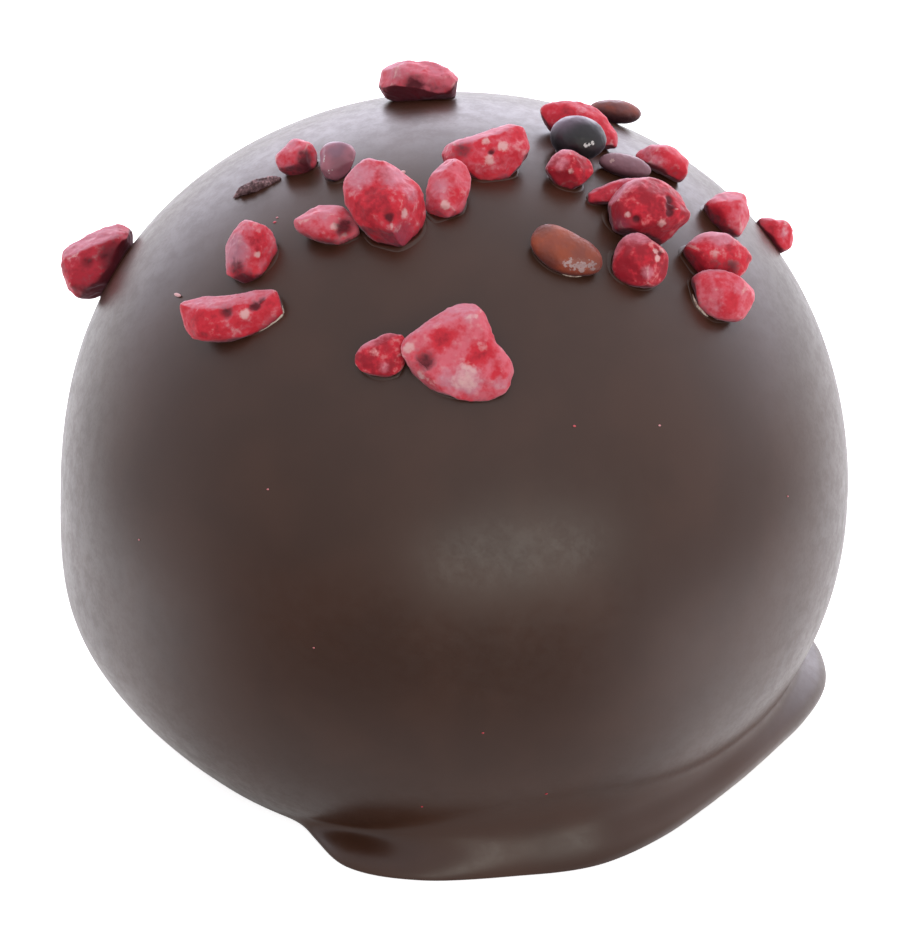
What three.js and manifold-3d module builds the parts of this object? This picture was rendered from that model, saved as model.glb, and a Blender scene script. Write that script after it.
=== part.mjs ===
// A chocolate praline in millimetres, resting on z = 0 with +Z up. The photographed side faces -Y,
// with the viewer's right at +X. A ball of dark chocolate stands on the foot that ran out round it
// as it set, and freeze-dried raspberry pieces and seeds are stuck on its crown. All of it is one body.
// Angles are in degrees. "around" turns about the Z axis from the front towards the viewer's right,
// and "down" is measured from the top of the ball, as seen from the ball's middle.

import * as THREE from "three";
import { mergeVertices } from "three/addons/utils/BufferGeometryUtils.js";
import Module from "manifold-3d";

// The ball. Above its widest level it rises further than it drops below it.
const BALL_RADIUS = 14;
const BELLY_HEIGHT = 8.1;
const CROWN_RISE = 13.7;
const FLANK_DROP = 12.1;
const BALL_FULLNESS = 2.13; // 2 gives an ellipse, and more a boxier section

// Slow swells of the shell: where each one faces, how far it stands out and how far it spreads.
const SWELLS = [
  { around: -84, height: 3.6, out: 0.45, wide: 38, tall: 2.8 },
  { around: -112, height: 16.5, out: 0.2, wide: 50, tall: 4 },
  { around: 122, height: 17.5, out: 0.12, wide: 30, tall: 3 },
];

// The foot: a slab with a rounded rim. At some angles round the Z axis it is given how far it
// reaches, how thick it is, at what height it is widest, and how softly the ball's flank runs out
// into it. On the left and at the back its short reach stays under the ball.
const RIM_WIDTH = 1.2;
const RIM_FULLNESS = 1.7; // 1 gives a straight slope, and 2 a quarter of an ellipse
const FOOT = [
  { around: -180, reach: 11.3, thickness: 0.9, widest: 0.3, fillet: 0.7 },
  { around: -110, reach: 10.5, thickness: 0.9, widest: 0.3, fillet: 0.6 },
  { around: -60, reach: 10.2, thickness: 0.9, widest: 0.3, fillet: 0.5 },
  { around: -33, reach: 10.5, thickness: 0.7, widest: 0.1, fillet: 0.4 },
  { around: -25, reach: 11.6, thickness: 0.65, widest: 0.1, fillet: 0.4 },
  { around: -17, reach: 12.82, thickness: 0.7, widest: 0.05, fillet: 0.5 },
  { around: -6, reach: 13.13, thickness: 0.95, widest: 0, fillet: 1.3 },
  { around: 10, reach: 12.92, thickness: 1.2, widest: 0.05, fillet: 2.2 },
  { around: 22, reach: 13.14, thickness: 1.4, widest: 0.25, fillet: 2 },
  { around: 34, reach: 12.91, thickness: 1.6, widest: 0.5, fillet: 1.3 },
  { around: 45, reach: 12.72, thickness: 1.85, widest: 0.75, fillet: 0.8 },
  { around: 54, reach: 12.76, thickness: 2.05, widest: 0.95, fillet: 0.6 },
  { around: 64, reach: 12.86, thickness: 2, widest: 0.95, fillet: 0.6 },
  { around: 74, reach: 13.15, thickness: 1.8, widest: 0.8, fillet: 0.7 },
  { around: 84, reach: 13.43, thickness: 1.5, widest: 0.6, fillet: 0.9 },
  { around: 92, reach: 13.34, thickness: 1.3, widest: 0.5, fillet: 0.9 },
  { around: 101, reach: 13, thickness: 1.2, widest: 0.4, fillet: 0.8 },
  { around: 130, reach: 12, thickness: 1, widest: 0.3, fillet: 0.7 },
];

// The grid of the chocolate's surface, seen from the middle of its base: columns round the Z axis,
// and rows by their tilt from straight up, closer together where the foot meets the ball.
const COLUMNS = 64;
const ROW_BANDS = [
  { to: 80, rows: 18 },
  { to: 83.5, rows: 4 },
  { to: 86, rows: 8 },
  { to: 90, rows: 6 },
];
const FAR = 26; // outside the chocolate in every direction
const MARCH_STEP = 0.25;
const BISECTIONS = 24;

// The pieces on the crown. "size" is length, width and thickness, and "turn" swings the length from
// the viewer's right. "facing" leans a piece from flat on the ball (0) towards the viewer (1),
// and "lift" raises its middle above the ball. A boxiness of 2 gives an ellipsoid, and more a block.
// "reach" shapes the outline at even steps round from the length. "faces" are flats that broke off,
// each as [heading from the length, rise above the piece's plane, depth as a share of the support],
// and "facets" is how many random ones join them.
const VIEW_ELEVATION = 31;
const PLAIN = [1, 1, 1, 1];
const PIECES = [
  {
    name: "left block", around: -104.5, down: 61, size: [3.3, 2.15, 2],
    turn: 50, facing: 0.9, lift: 0.74, boxiness: 2.5, facets: 4,
    reach: [1.15, 0.9, 1.15, 0.85, 0.85, 0.9, 0.95, 0.85],
    faces: [[60, 40, 0.85], [-150, 35, 0.85]],
  },
  {
    name: "top boat", around: -167, down: 21.8, size: [3.15, 1.45, 1.5],
    turn: 0, facing: 0.9, lift: 0.58, boxiness: 2.5, facets: 3,
    reach: [0.95, 0.85, 1, 1.1, 1, 1.05, 1, 1.2],
    faces: [[80, 45, 0.85], [-100, 30, 0.85]],
  },
  {
    name: "left nugget", around: -89.5, down: 22.3, size: [1.6, 1.4, 1.2],
    turn: 0, facing: 0.7, lift: 0.42, boxiness: 2.5, facets: 2,
    reach: [0.95, 0.8, 1, 0.75, 0.95, 0.9, 0.9, 0.85],
    faces: [[130, 45, 0.82], [-10, 35, 0.8], [-100, 40, 0.85]],
  },
  {
    name: "plum skin", around: -77, down: 17.2, size: [1.35, 1.45, 0.95],
    turn: 0, facing: 0.7, lift: 0.42, boxiness: 2.5, facets: 2,
    reach: [1.1, 1, 0.95, 0.9, 0.9, 0.85, 1.1, 0.9],
    faces: [],
  },
  {
    name: "big knob", around: -29.3, down: 19.8, size: [3.4, 2.5, 2.1],
    turn: -56, facing: 0.6, lift: 0.75, boxiness: 2.5, facets: 3,
    reach: [1, 0.97, 1.05, 0.9, 1.02, 0.92, 0.92, 1],
    faces: [[20, 32, 0.86], [100, 45, 0.9], [-70, 40, 0.92]],
  },
  {
    name: "wedge", around: -44.5, down: 25.3, size: [2.35, 1.4, 1.2],
    turn: -8, facing: 0.6, lift: 0.4, boxiness: 2.5, facets: 2,
    reach: [0.9, 0.95, 1.15, 0.8, 1.1, 0.8, 0.85, 1.02],
    faces: [[3, 45, 0.76], [95, 42, 0.85]],
  },
  {
    name: "pear", around: -59, down: 34.8, size: [2.35, 1.75, 1.45],
    turn: 66, facing: 0.7, lift: 0.46, boxiness: 2.5, facets: 2,
    reach: [1.05, 0.87, 0.82, 1.05, 0.95, 0.95, 1.15, 0.93],
    faces: [[114, 38, 0.72], [-60, 40, 0.8], [194, 35, 0.88]],
  },
  {
    name: "long bean", around: -49.5, down: 43, size: [3.75, 1.5, 1.3],
    turn: 5, facing: 0.6, lift: 0.38, boxiness: 2.5, facets: 3,
    reach: [1, 1.1, 0.9, 1.2, 1, 1.05, 1.1, 0.9],
    faces: [[90, 48, 0.86]],
  },
  {
    name: "upright flake", around: -4, down: 14.2, size: [2.35, 1.4, 1.2],
    turn: 72, facing: 0.7, lift: 0.42, boxiness: 2.5, facets: 3,
    reach: [1, 1, 1, 0.92, 1, 1, 1, 0.95],
    faces: [[110, 40, 0.8], [-60, 45, 0.88]],
  },
  {
    name: "ridge flake", around: 43, down: 7.2, size: [3.1, 1.95, 1.3],
    turn: 22, facing: 0.6, lift: 0.5, boxiness: 2.5, facets: 4,
    reach: [1, 0.95, 0.78, 1.1, 0.96, 0.78, 1.2, 0.87],
    faces: [[85, 45, 0.82], [-85, 42, 0.85]],
  },
  {
    name: "small flake", around: -14.5, down: 42, size: [1.95, 1.4, 0.8],
    turn: 20, facing: 0.5, lift: 0.24, boxiness: 2.5, facets: 3,
    reach: [1, 1.15, 0.92, 0.93, 1, 0.86, 1.05, 1.05],
    faces: [[80, 55, 0.88]],
  },
  {
    name: "peak flake", around: 1, down: 41.3, size: [3.85, 3.3, 1.2],
    turn: -10, facing: 0.5, lift: 0.38, boxiness: 2.5, facets: 3,
    reach: [0.93, 0.66, 0.78, 1.16, 0.84, 0.82, 1.03, 0.98, 0.87, 0.9, 0.95, 1.03],
    faces: [[0, 90, 0.75], [-70, 50, 0.85], [120, 50, 0.85]],
  },
  {
    name: "dome backing", around: 113, down: 19.3, size: [3.1, 1.6, 0.9],
    turn: -22, facing: 0.7, lift: 0.5, boxiness: 2.5, facets: 2,
    reach: [1.02, 0.8, 1, 0.8, 0.95, 0.9, 0.9, 0.95],
    faces: [[90, 50, 0.85]],
  },
  {
    name: "dark dome", around: 95, down: 17.4, size: [1.95, 1.55, 1.35],
    turn: -10, facing: 0.85, lift: 0.64, boxiness: 2, facets: 0,
    reach: PLAIN,
    faces: [],
  },
  {
    name: "edge seed", around: 136.5, down: 35, size: [1.85, 0.85, 1.1],
    turn: -6, facing: 0.9, lift: 0.38, boxiness: 2, facets: 0,
    reach: PLAIN,
    faces: [],
  },
  {
    name: "bright nugget", around: 68, down: 17.5, size: [1.7, 1.35, 1.15],
    turn: -3, facing: 0.7, lift: 0.5, boxiness: 2.5, facets: 1,
    reach: [1, 0.8, 0.92, 1.02, 0.97, 0.88, 1.1, 0.98],
    faces: [[150, 48, 0.82], [-30, 45, 0.85], [60, 50, 0.85], [-110, 40, 0.86]],
  },
  {
    name: "plum seed", around: 88.5, down: 24.5, size: [1.85, 0.8, 0.75],
    turn: -11, facing: 0.7, lift: 0.36, boxiness: 2, facets: 0,
    reach: PLAIN,
    faces: [],
  },
  {
    name: "rose nugget", around: 100, down: 31.2, size: [1.9, 1.3, 1.15],
    turn: -15, facing: 0.8, lift: 0.44, boxiness: 2.5, facets: 2,
    reach: [0.8, 0.9, 0.9, 0.84, 1.15, 0.82, 0.8, 1.02],
    faces: [[-60, 45, 0.85], [60, 50, 0.85], [170, 40, 0.82]],
  },
  {
    name: "shell arm", around: 69, down: 24.7, size: [2.2, 0.7, 0.75],
    turn: 17, facing: 0.7, lift: 0.45, boxiness: 2.5, facets: 2,
    reach: PLAIN,
    faces: [],
  },
  {
    name: "curled shell", around: 65, down: 30, size: [2.95, 2.4, 2],
    turn: 0, facing: 0.7, lift: 0.62, boxiness: 2.5, facets: 3,
    reach: [1, 0.98, 1.06, 0.93, 1, 0.85, 0.85, 0.95],
    faces: [[40, 35, 0.88], [-40, 40, 0.88]],
  },
  {
    name: "shell foot", around: 51, down: 34, size: [2, 1.95, 1.5],
    turn: 0, facing: 0.7, lift: 0.46, boxiness: 2.5, facets: 1,
    reach: [1, 0.88, 0.97, 1, 1, 0.95, 1, 1],
    faces: [[100, 45, 0.86], [-30, 42, 0.86], [-120, 45, 0.85], [200, 45, 0.86]],
  },
  {
    name: "amber seed", around: 34.5, down: 28, size: [2.6, 1.5, 1.2],
    turn: -28, facing: 0.5, lift: 0.33, boxiness: 2, facets: 0,
    reach: [1.02, 1.03, 0.88, 1.02, 0.98, 1.06, 1.1, 0.95],
    faces: [],
  },
  {
    name: "right nugget", around: 90.5, down: 41, size: [1.7, 1.65, 1.35],
    turn: 0, facing: 0.8, lift: 0.44, boxiness: 2.5, facets: 1,
    reach: [0.9, 0.96, 0.97, 0.86, 1.1, 0.74, 1, 1],
    faces: [[-5, 38, 0.82], [210, 40, 0.82], [100, 42, 0.86]],
  },
  {
    name: "cap lobe", around: 71, down: 41, size: [2.6, 1.75, 1.6],
    turn: -5, facing: 0.7, lift: 0.5, boxiness: 2.1, facets: 3,
    reach: [1, 0.95, 1, 0.92, 1.02, 1, 1, 1],
    faces: [],
  },
  {
    name: "chin lobe", around: 63.5, down: 44.7, size: [2.5, 1.85, 1.4],
    turn: -8, facing: 0.7, lift: 0.42, boxiness: 2.5, facets: 2,
    reach: [0.95, 0.95, 0.92, 0.93, 1, 0.88, 0.95, 0.93],
    faces: [[-20, 45, 0.86], [-120, 45, 0.84], [90, 60, 0.88]],
  },
  {
    name: "edge nugget", around: 108.5, down: 56, size: [1.6, 1.05, 0.95],
    turn: -42, facing: 0.8, lift: 0.28, boxiness: 2.5, facets: 2,
    reach: [0.92, 0.88, 1.1, 0.75, 1.1, 0.75, 0.9, 0.95],
    faces: [[30, 40, 0.84]],
  },
  {
    name: "stalk crumb", around: -87.3, down: 28.9, size: [1.6, 0.42, 0.4],
    turn: 12, facing: 0.5, lift: 0.08, boxiness: 2, facets: 0,
    reach: PLAIN,
    faces: [],
  },
];

// More pieces lie on the hidden back of the crown, placed by seeded draws.
const BACK_PIECES = 8;
const BACK_SEED = 41;
const BACK_AROUND = [128, 236];
const BACK_DOWN = [54, 74];
const BACK_LENGTH = [1.5, 2.7];
const BACK_WIDTH = [0.6, 0.85]; // shares of the length, as the thickness and the lift are
const BACK_THICKNESS = [0.45, 0.6];
const BACK_LIFT = 0.14;
const BACK_BOXINESS = 2.5;
const BACK_FACETS = 7;
const BACK_STATIONS = 8;
const BACK_REACH = [0.88, 1.12];
const BACK_GAP = 1.2; // least gap between two of them
const BACK_RIM = 13.8; // each stays within this distance of the middle of the view

// How deep the random facets of a piece are cut, and how flat every cut is.
const FACET_DEPTH = [0.8, 0.95];
const FACET_FLATNESS = 0.9;
const SMALL_LENGTH = 2; // pieces shorter than this get fewer triangles
const FIRST_SEED = 3;
const SEED_STEP = 7;
const SLOPE_STEP = 0.5; // degrees to either side, for the slope of the chocolate under a piece

const viewDirection = new THREE.Vector3(
  0,
  -Math.cos(THREE.MathUtils.degToRad(VIEW_ELEVATION)),
  Math.sin(THREE.MathUtils.degToRad(VIEW_ELEVATION)),
);

// Even draws from 0 to 1 that are the same for the same seed.
function seededDraws(seed) {
  let state = seed >>> 0;
  return () => {
    state = (state + 0x6d2b79f5) >>> 0;
    let mixed = state;
    mixed = Math.imul(mixed ^ (mixed >>> 15), mixed | 1);
    mixed ^= mixed + Math.imul(mixed ^ (mixed >>> 7), mixed | 61);
    return ((mixed ^ (mixed >>> 14)) >>> 0) / 4294967296;
  };
}

function between([low, high], share) {
  return low + (high - low) * share;
}

// The value at an angle of a smooth closed curve through [angle, value] stations.
function curveAround(stations, angle) {
  const count = stations.length;
  const first = stations[0][0];
  const turned = first + THREE.MathUtils.euclideanModulo(angle - first, 360);
  let index = count - 1;
  while (stations[index][0] > turned) index -= 1;
  const station = (offset) => {
    const step = index + offset;
    const [at, value] = stations[(step + count) % count];
    return [at + 360 * Math.floor(step / count), value];
  };
  const [x0, v0] = station(-1);
  const [x1, v1] = station(0);
  const [x2, v2] = station(1);
  const [x3, v3] = station(2);
  const span = x2 - x1;
  const t = (turned - x1) / span;
  const slope1 = ((v2 - v0) / (x2 - x0)) * span;
  const slope2 = ((v3 - v1) / (x3 - x1)) * span;
  return (
    (2 * t ** 3 - 3 * t ** 2 + 1) * v1 +
    (t ** 3 - 2 * t ** 2 + t) * slope1 +
    (3 * t ** 2 - 2 * t ** 3) * v2 +
    (t ** 3 - t ** 2) * slope2
  );
}

function swellAt(around, height) {
  let out = 0;
  for (const swell of SWELLS) {
    const turn = THREE.MathUtils.euclideanModulo(around - swell.around + 180, 360) - 180;
    const away = (turn / swell.wide) ** 2 + ((height - swell.height) / swell.tall) ** 2;
    out += swell.out * Math.exp(-away);
  }
  return out;
}

function footAt(size, around) {
  return curveAround(FOOT.map((station) => [station.around, station[size]]), around);
}

// Negative inside the chocolate, in the upright section that faces "around", at a radius and a height.
function chocolateDistance(around, radius, height) {
  const belly = BALL_RADIUS + swellAt(around, height);
  const above = height - BELLY_HEIGHT;
  const rise = above > 0 ? CROWN_RISE : FLANK_DROP;
  const powers = (radius / belly) ** BALL_FULLNESS + (Math.abs(above) / rise) ** BALL_FULLNESS;
  const ball = (powers ** (1 / BALL_FULLNESS) - 1) * Math.min(belly, rise);

  const past = Math.max(radius - footAt("reach", around) + RIM_WIDTH, 0);
  const widest = footAt("widest", around);
  const halfRim = footAt("thickness", around) - widest;
  const slopes = (past / RIM_WIDTH) ** RIM_FULLNESS + (Math.abs(height - widest) / halfRim) ** RIM_FULLNESS;
  const foot = (slopes ** (1 / RIM_FULLNESS) - 1) * Math.min(RIM_WIDTH, halfRim);

  const fillet = footAt("fillet", around);
  const overlap = Math.max(fillet - Math.abs(ball - foot), 0) / fillet;
  return Math.min(ball, foot) - (overlap ** 2 * fillet) / 4;
}

// The distance from a point on the Z axis to the chocolate's surface, along a tilt from straight up.
function surfaceReach(around, tilt, startHeight) {
  const sine = Math.sin(THREE.MathUtils.degToRad(tilt));
  const cosine = Math.cos(THREE.MathUtils.degToRad(tilt));
  const inside = (reach) => chocolateDistance(around, reach * sine, startHeight + reach * cosine) < 0;
  let outer = FAR;
  while (!inside(outer - MARCH_STEP)) outer -= MARCH_STEP;
  let inner = outer - MARCH_STEP;
  for (let i = 0; i < BISECTIONS; i++) {
    const middle = (inner + outer) / 2;
    if (inside(middle)) inner = middle;
    else outer = middle;
  }
  return inner;
}

function surfacePoint(around, tilt, startHeight) {
  const reach = surfaceReach(around, tilt, startHeight);
  const radius = reach * Math.sin(THREE.MathUtils.degToRad(tilt));
  const turn = THREE.MathUtils.degToRad(around);
  return new THREE.Vector3(
    radius * Math.sin(turn),
    -radius * Math.cos(turn),
    startHeight + reach * Math.cos(THREE.MathUtils.degToRad(tilt)),
  );
}

// The chocolate: rings of points from the top to the table, closed by a flat base.
function chocolateGeometry() {
  const tilts = [];
  let from = 0;
  for (const { to, rows } of ROW_BANDS) {
    for (let row = 1; row <= rows; row++) tilts.push(from + ((to - from) * row) / rows);
    from = to;
  }
  const points = [surfacePoint(0, 0, 0)];
  for (const tilt of tilts) {
    for (let column = 0; column < COLUMNS; column++) {
      const point = surfacePoint((360 * column) / COLUMNS, tilt, 0);
      if (tilt === 90) point.z = 0;
      points.push(point);
    }
  }
  const baseMiddle = points.length;
  points.push(new THREE.Vector3(0, 0, 0));

  const triangles = [];
  const at = (row, column) => 1 + row * COLUMNS + (column % COLUMNS);
  for (let column = 0; column < COLUMNS; column++) {
    triangles.push(0, at(0, column), at(0, column + 1));
    for (let row = 1; row < tilts.length; row++) {
      triangles.push(at(row - 1, column), at(row, column), at(row - 1, column + 1));
      triangles.push(at(row - 1, column + 1), at(row, column), at(row, column + 1));
    }
    triangles.push(at(tilts.length - 1, column), baseMiddle, at(tilts.length - 1, column + 1));
  }
  return new THREE.BufferGeometry().setFromPoints(points).setIndex(triangles);
}

// A place on the crown with the directions along a piece that lies there.
function pieceFrame({ around, down, turn, facing, lift }) {
  const spot = surfacePoint(around, down, BELLY_HEIGHT);
  const alongAround = surfacePoint(around + SLOPE_STEP, down, BELLY_HEIGHT).sub(
    surfacePoint(around - SLOPE_STEP, down, BELLY_HEIGHT),
  );
  const alongDown = surfacePoint(around, down + SLOPE_STEP, BELLY_HEIGHT).sub(
    surfacePoint(around, down - SLOPE_STEP, BELLY_HEIGHT),
  );
  const outward = alongDown.cross(alongAround).normalize();
  const normal = outward.clone().lerp(viewDirection, facing).normalize();
  const level = new THREE.Vector3(1, 0, 0);
  level.addScaledVector(normal, -level.dot(normal)).normalize();
  const length = level.applyAxisAngle(normal, THREE.MathUtils.degToRad(turn));
  const width = normal.clone().cross(length);
  return { middle: spot.addScaledVector(outward, lift), length, width, normal };
}

// The flats of a piece, each with the direction that it faces and its distance from the middle.
function pieceCuts(piece, seed) {
  const [halfLength, halfWidth, halfThickness] = piece.size.map((size) => size / 2);
  const cuts = [];
  const addCut = (facing, depth) => {
    const support = Math.hypot(halfLength * facing.x, halfWidth * facing.y, halfThickness * facing.z);
    cuts.push({ facing, level: depth * support });
  };
  for (const [heading, rise, depth] of piece.faces) {
    const turn = THREE.MathUtils.degToRad(heading);
    const up = THREE.MathUtils.degToRad(rise);
    const flat = Math.cos(up);
    addCut(new THREE.Vector3(flat * Math.cos(turn), flat * Math.sin(turn), Math.sin(up)), depth);
  }
  const draw = seededDraws(seed);
  for (let i = 0; i < piece.facets; i++) {
    const height = between([-1, 1], draw());
    const turn = 2 * Math.PI * draw();
    const flat = Math.sqrt(1 - height ** 2);
    const facing = new THREE.Vector3(flat * Math.cos(turn), flat * Math.sin(turn), height);
    addCut(facing, between(FACET_DEPTH, draw()));
  }
  return cuts;
}

// One piece: a rounded block with an uneven outline and a few flats.
function pieceGeometry(piece, seed) {
  const { boxiness, reach: stations } = piece;
  const [halfLength, halfWidth, halfThickness] = piece.size.map((size) => size / 2);
  const outline = stations.map((reach, index) => [(360 * index) / stations.length, reach]);
  const cuts = pieceCuts(piece, seed);
  const frame = pieceFrame(piece);
  const toPart = new THREE.Matrix4().makeBasis(frame.length, frame.width, frame.normal);
  toPart.setPosition(frame.middle);

  const ball = new THREE.IcosahedronGeometry(1, piece.size[0] < SMALL_LENGTH ? 1 : 2);
  ball.deleteAttribute("normal");
  ball.deleteAttribute("uv");
  const geometry = mergeVertices(ball);
  const position = geometry.attributes.position;
  const point = new THREE.Vector3();
  for (let i = 0; i < position.count; i++) {
    point.fromBufferAttribute(position, i);
    const { x, y, z } = point;
    const powers = Math.abs(x) ** boxiness + Math.abs(y) ** boxiness + Math.abs(z) ** boxiness;
    point.multiplyScalar(powers ** (-1 / boxiness));
    const reach = curveAround(outline, THREE.MathUtils.radToDeg(Math.atan2(y, x)));
    point.multiply(new THREE.Vector3(halfLength * reach, halfWidth * reach, halfThickness));
    for (const { facing, level } of cuts) {
      const over = point.dot(facing) - level;
      if (over > 0) point.addScaledVector(facing, -over * FACET_FLATNESS);
    }
    point.applyMatrix4(toPart);
    position.setXYZ(i, point.x, point.y, point.z);
  }
  return geometry;
}

// The pieces behind the crown. A draw is dropped when the piece would show from the front, or when
// it would come too near to one that is already there.
function backPieces() {
  const draw = seededDraws(BACK_SEED);
  const pieces = [];
  const placed = [];
  while (pieces.length < BACK_PIECES) {
    const length = between(BACK_LENGTH, draw());
    const piece = {
      name: "back piece",
      around: between(BACK_AROUND, draw()),
      down: between(BACK_DOWN, draw()),
      size: [length, length * between(BACK_WIDTH, draw()), length * between(BACK_THICKNESS, draw())],
      turn: 180 * draw(),
      facing: 0,
      lift: BACK_LIFT * length,
      boxiness: BACK_BOXINESS,
      facets: BACK_FACETS,
      reach: Array.from({ length: BACK_STATIONS }, () => between(BACK_REACH, draw())),
      faces: [],
    };
    const { middle } = pieceFrame(piece);
    const fromCentre = middle.clone();
    fromCentre.z -= BELLY_HEIGHT;
    const aside = fromCentre.addScaledVector(viewDirection, -fromCentre.dot(viewDirection)).length();
    const clearOf = (other) => other.middle.distanceTo(middle) > (other.length + length) / 2 + BACK_GAP;
    if (placed.every(clearOf) && aside + length / 2 < BACK_RIM) {
      pieces.push(piece);
      placed.push({ middle, length });
    }
  }
  return pieces;
}

const wasm = await Module();
wasm.setup();

function solidFrom(geometry) {
  return new wasm.Manifold(
    new wasm.Mesh({
      numProp: 3,
      vertProperties: new Float32Array(geometry.attributes.position.array),
      triVerts: new Uint32Array(geometry.index.array),
    }),
  );
}

let praline = solidFrom(chocolateGeometry());
[...PIECES, ...backPieces()].forEach((piece, index) => {
  praline = praline.add(solidFrom(pieceGeometry(piece, FIRST_SEED + SEED_STEP * index)));
});

const joined = praline.getMesh();
const pralineGeometry = new THREE.BufferGeometry()
  .setAttribute("position", new THREE.BufferAttribute(new Float32Array(joined.vertProperties), 3))
  .setIndex(new THREE.BufferAttribute(new Uint32Array(joined.triVerts), 1));
pralineGeometry.computeVertexNormals();

const pralineMesh = new THREE.Mesh(
  pralineGeometry,
  new THREE.MeshStandardMaterial({ color: 0x3a2420, roughness: 0.4 }),
);
pralineMesh.name = "praline";

const part = new THREE.Group();
part.name = "chocolate_praline";
part.add(pralineMesh);

export default part;
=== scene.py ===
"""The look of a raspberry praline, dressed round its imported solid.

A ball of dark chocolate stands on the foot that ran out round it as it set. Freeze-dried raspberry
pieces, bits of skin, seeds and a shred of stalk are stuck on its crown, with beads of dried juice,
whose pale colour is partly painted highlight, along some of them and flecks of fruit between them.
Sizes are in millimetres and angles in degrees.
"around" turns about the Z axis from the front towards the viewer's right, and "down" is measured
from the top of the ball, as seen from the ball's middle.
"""

import logging
import math
from dataclasses import dataclass, field
from enum import Enum

import bmesh
import bpy
import numpy as np
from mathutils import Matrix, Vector


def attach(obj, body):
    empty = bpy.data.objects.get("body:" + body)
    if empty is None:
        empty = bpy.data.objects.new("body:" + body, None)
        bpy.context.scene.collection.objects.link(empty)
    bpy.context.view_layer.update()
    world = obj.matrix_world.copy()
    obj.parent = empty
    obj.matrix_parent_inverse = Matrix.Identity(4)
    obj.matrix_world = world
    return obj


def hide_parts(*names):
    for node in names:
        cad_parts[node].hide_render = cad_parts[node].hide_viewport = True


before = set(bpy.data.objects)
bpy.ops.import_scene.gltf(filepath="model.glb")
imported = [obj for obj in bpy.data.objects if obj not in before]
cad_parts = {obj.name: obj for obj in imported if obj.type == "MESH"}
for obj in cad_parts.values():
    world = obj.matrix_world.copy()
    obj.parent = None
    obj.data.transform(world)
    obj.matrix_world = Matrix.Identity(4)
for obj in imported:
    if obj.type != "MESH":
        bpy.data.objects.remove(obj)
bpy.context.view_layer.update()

LOG = logging.getLogger("praline")
MM = 0.001
BODY = "root"
NODE = "praline"
VIEW_ELEVATION = 31.0
VIEWWARD = np.array([0.0, -math.cos(math.radians(VIEW_ELEVATION)), math.sin(math.radians(VIEW_ELEVATION))])


class Tint(Enum):
    """What a mark on a raspberry piece does to its colour."""

    # Darkens: painted shade in holes, pits, on lower edges and on undersides.
    PAINTED_SHADE = "deep"
    # Pink dust; the same field also holds painted light on faces turned up and back.
    DUST_AND_PAINTED_LIGHT = "dust_and_painted_light"
    # Pale spots, and painted highlights where glints fall.
    PALE = "pale"
    PLUM = "plum"
    RED = "red"


class Kind(Enum):
    """What a topping is made of, with the name of the piece that gathers its kind."""

    CHUNK = "raspberry_chunks"
    NUGGET = "raspberry_nuggets"
    SKIN = "raspberry_skins"
    SEED = "raspberry_seeds"
    STALK = "stalk_shreds"
    FLECK = "fruit_flecks"


@dataclass(frozen=True)
class Mark:
    """A dent or a patch: where it faces from the piece's middle, its radius, its depth and its tint."""

    heading: float
    rise: float
    radius: float
    tint: Tint
    sink: float = 0.0
    strength: float = 1.0


@dataclass(frozen=True)
class Topping:
    """One piece on the crown. The words mean what they mean in the part's own source."""

    name: str
    around: float
    down: float
    size: tuple[float, float, float]
    turn: float
    facing: float
    lift: float
    boxiness: float
    facets: int
    reach: tuple[float, ...]
    faces: tuple[tuple[float, float, float], ...] = ()
    kind: Kind = Kind.NUGGET
    blush: float = 0.4
    plum: float = 0.0
    marks: tuple[Mark, ...] = ()


# An outline that keeps its own form, and a mark that makes a whole piece pale.
PLAIN = (1.0, 1.0, 1.0, 1.0)
PALE_ALL = (Mark(0, 90, 1.0, Tint.PALE),)
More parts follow.
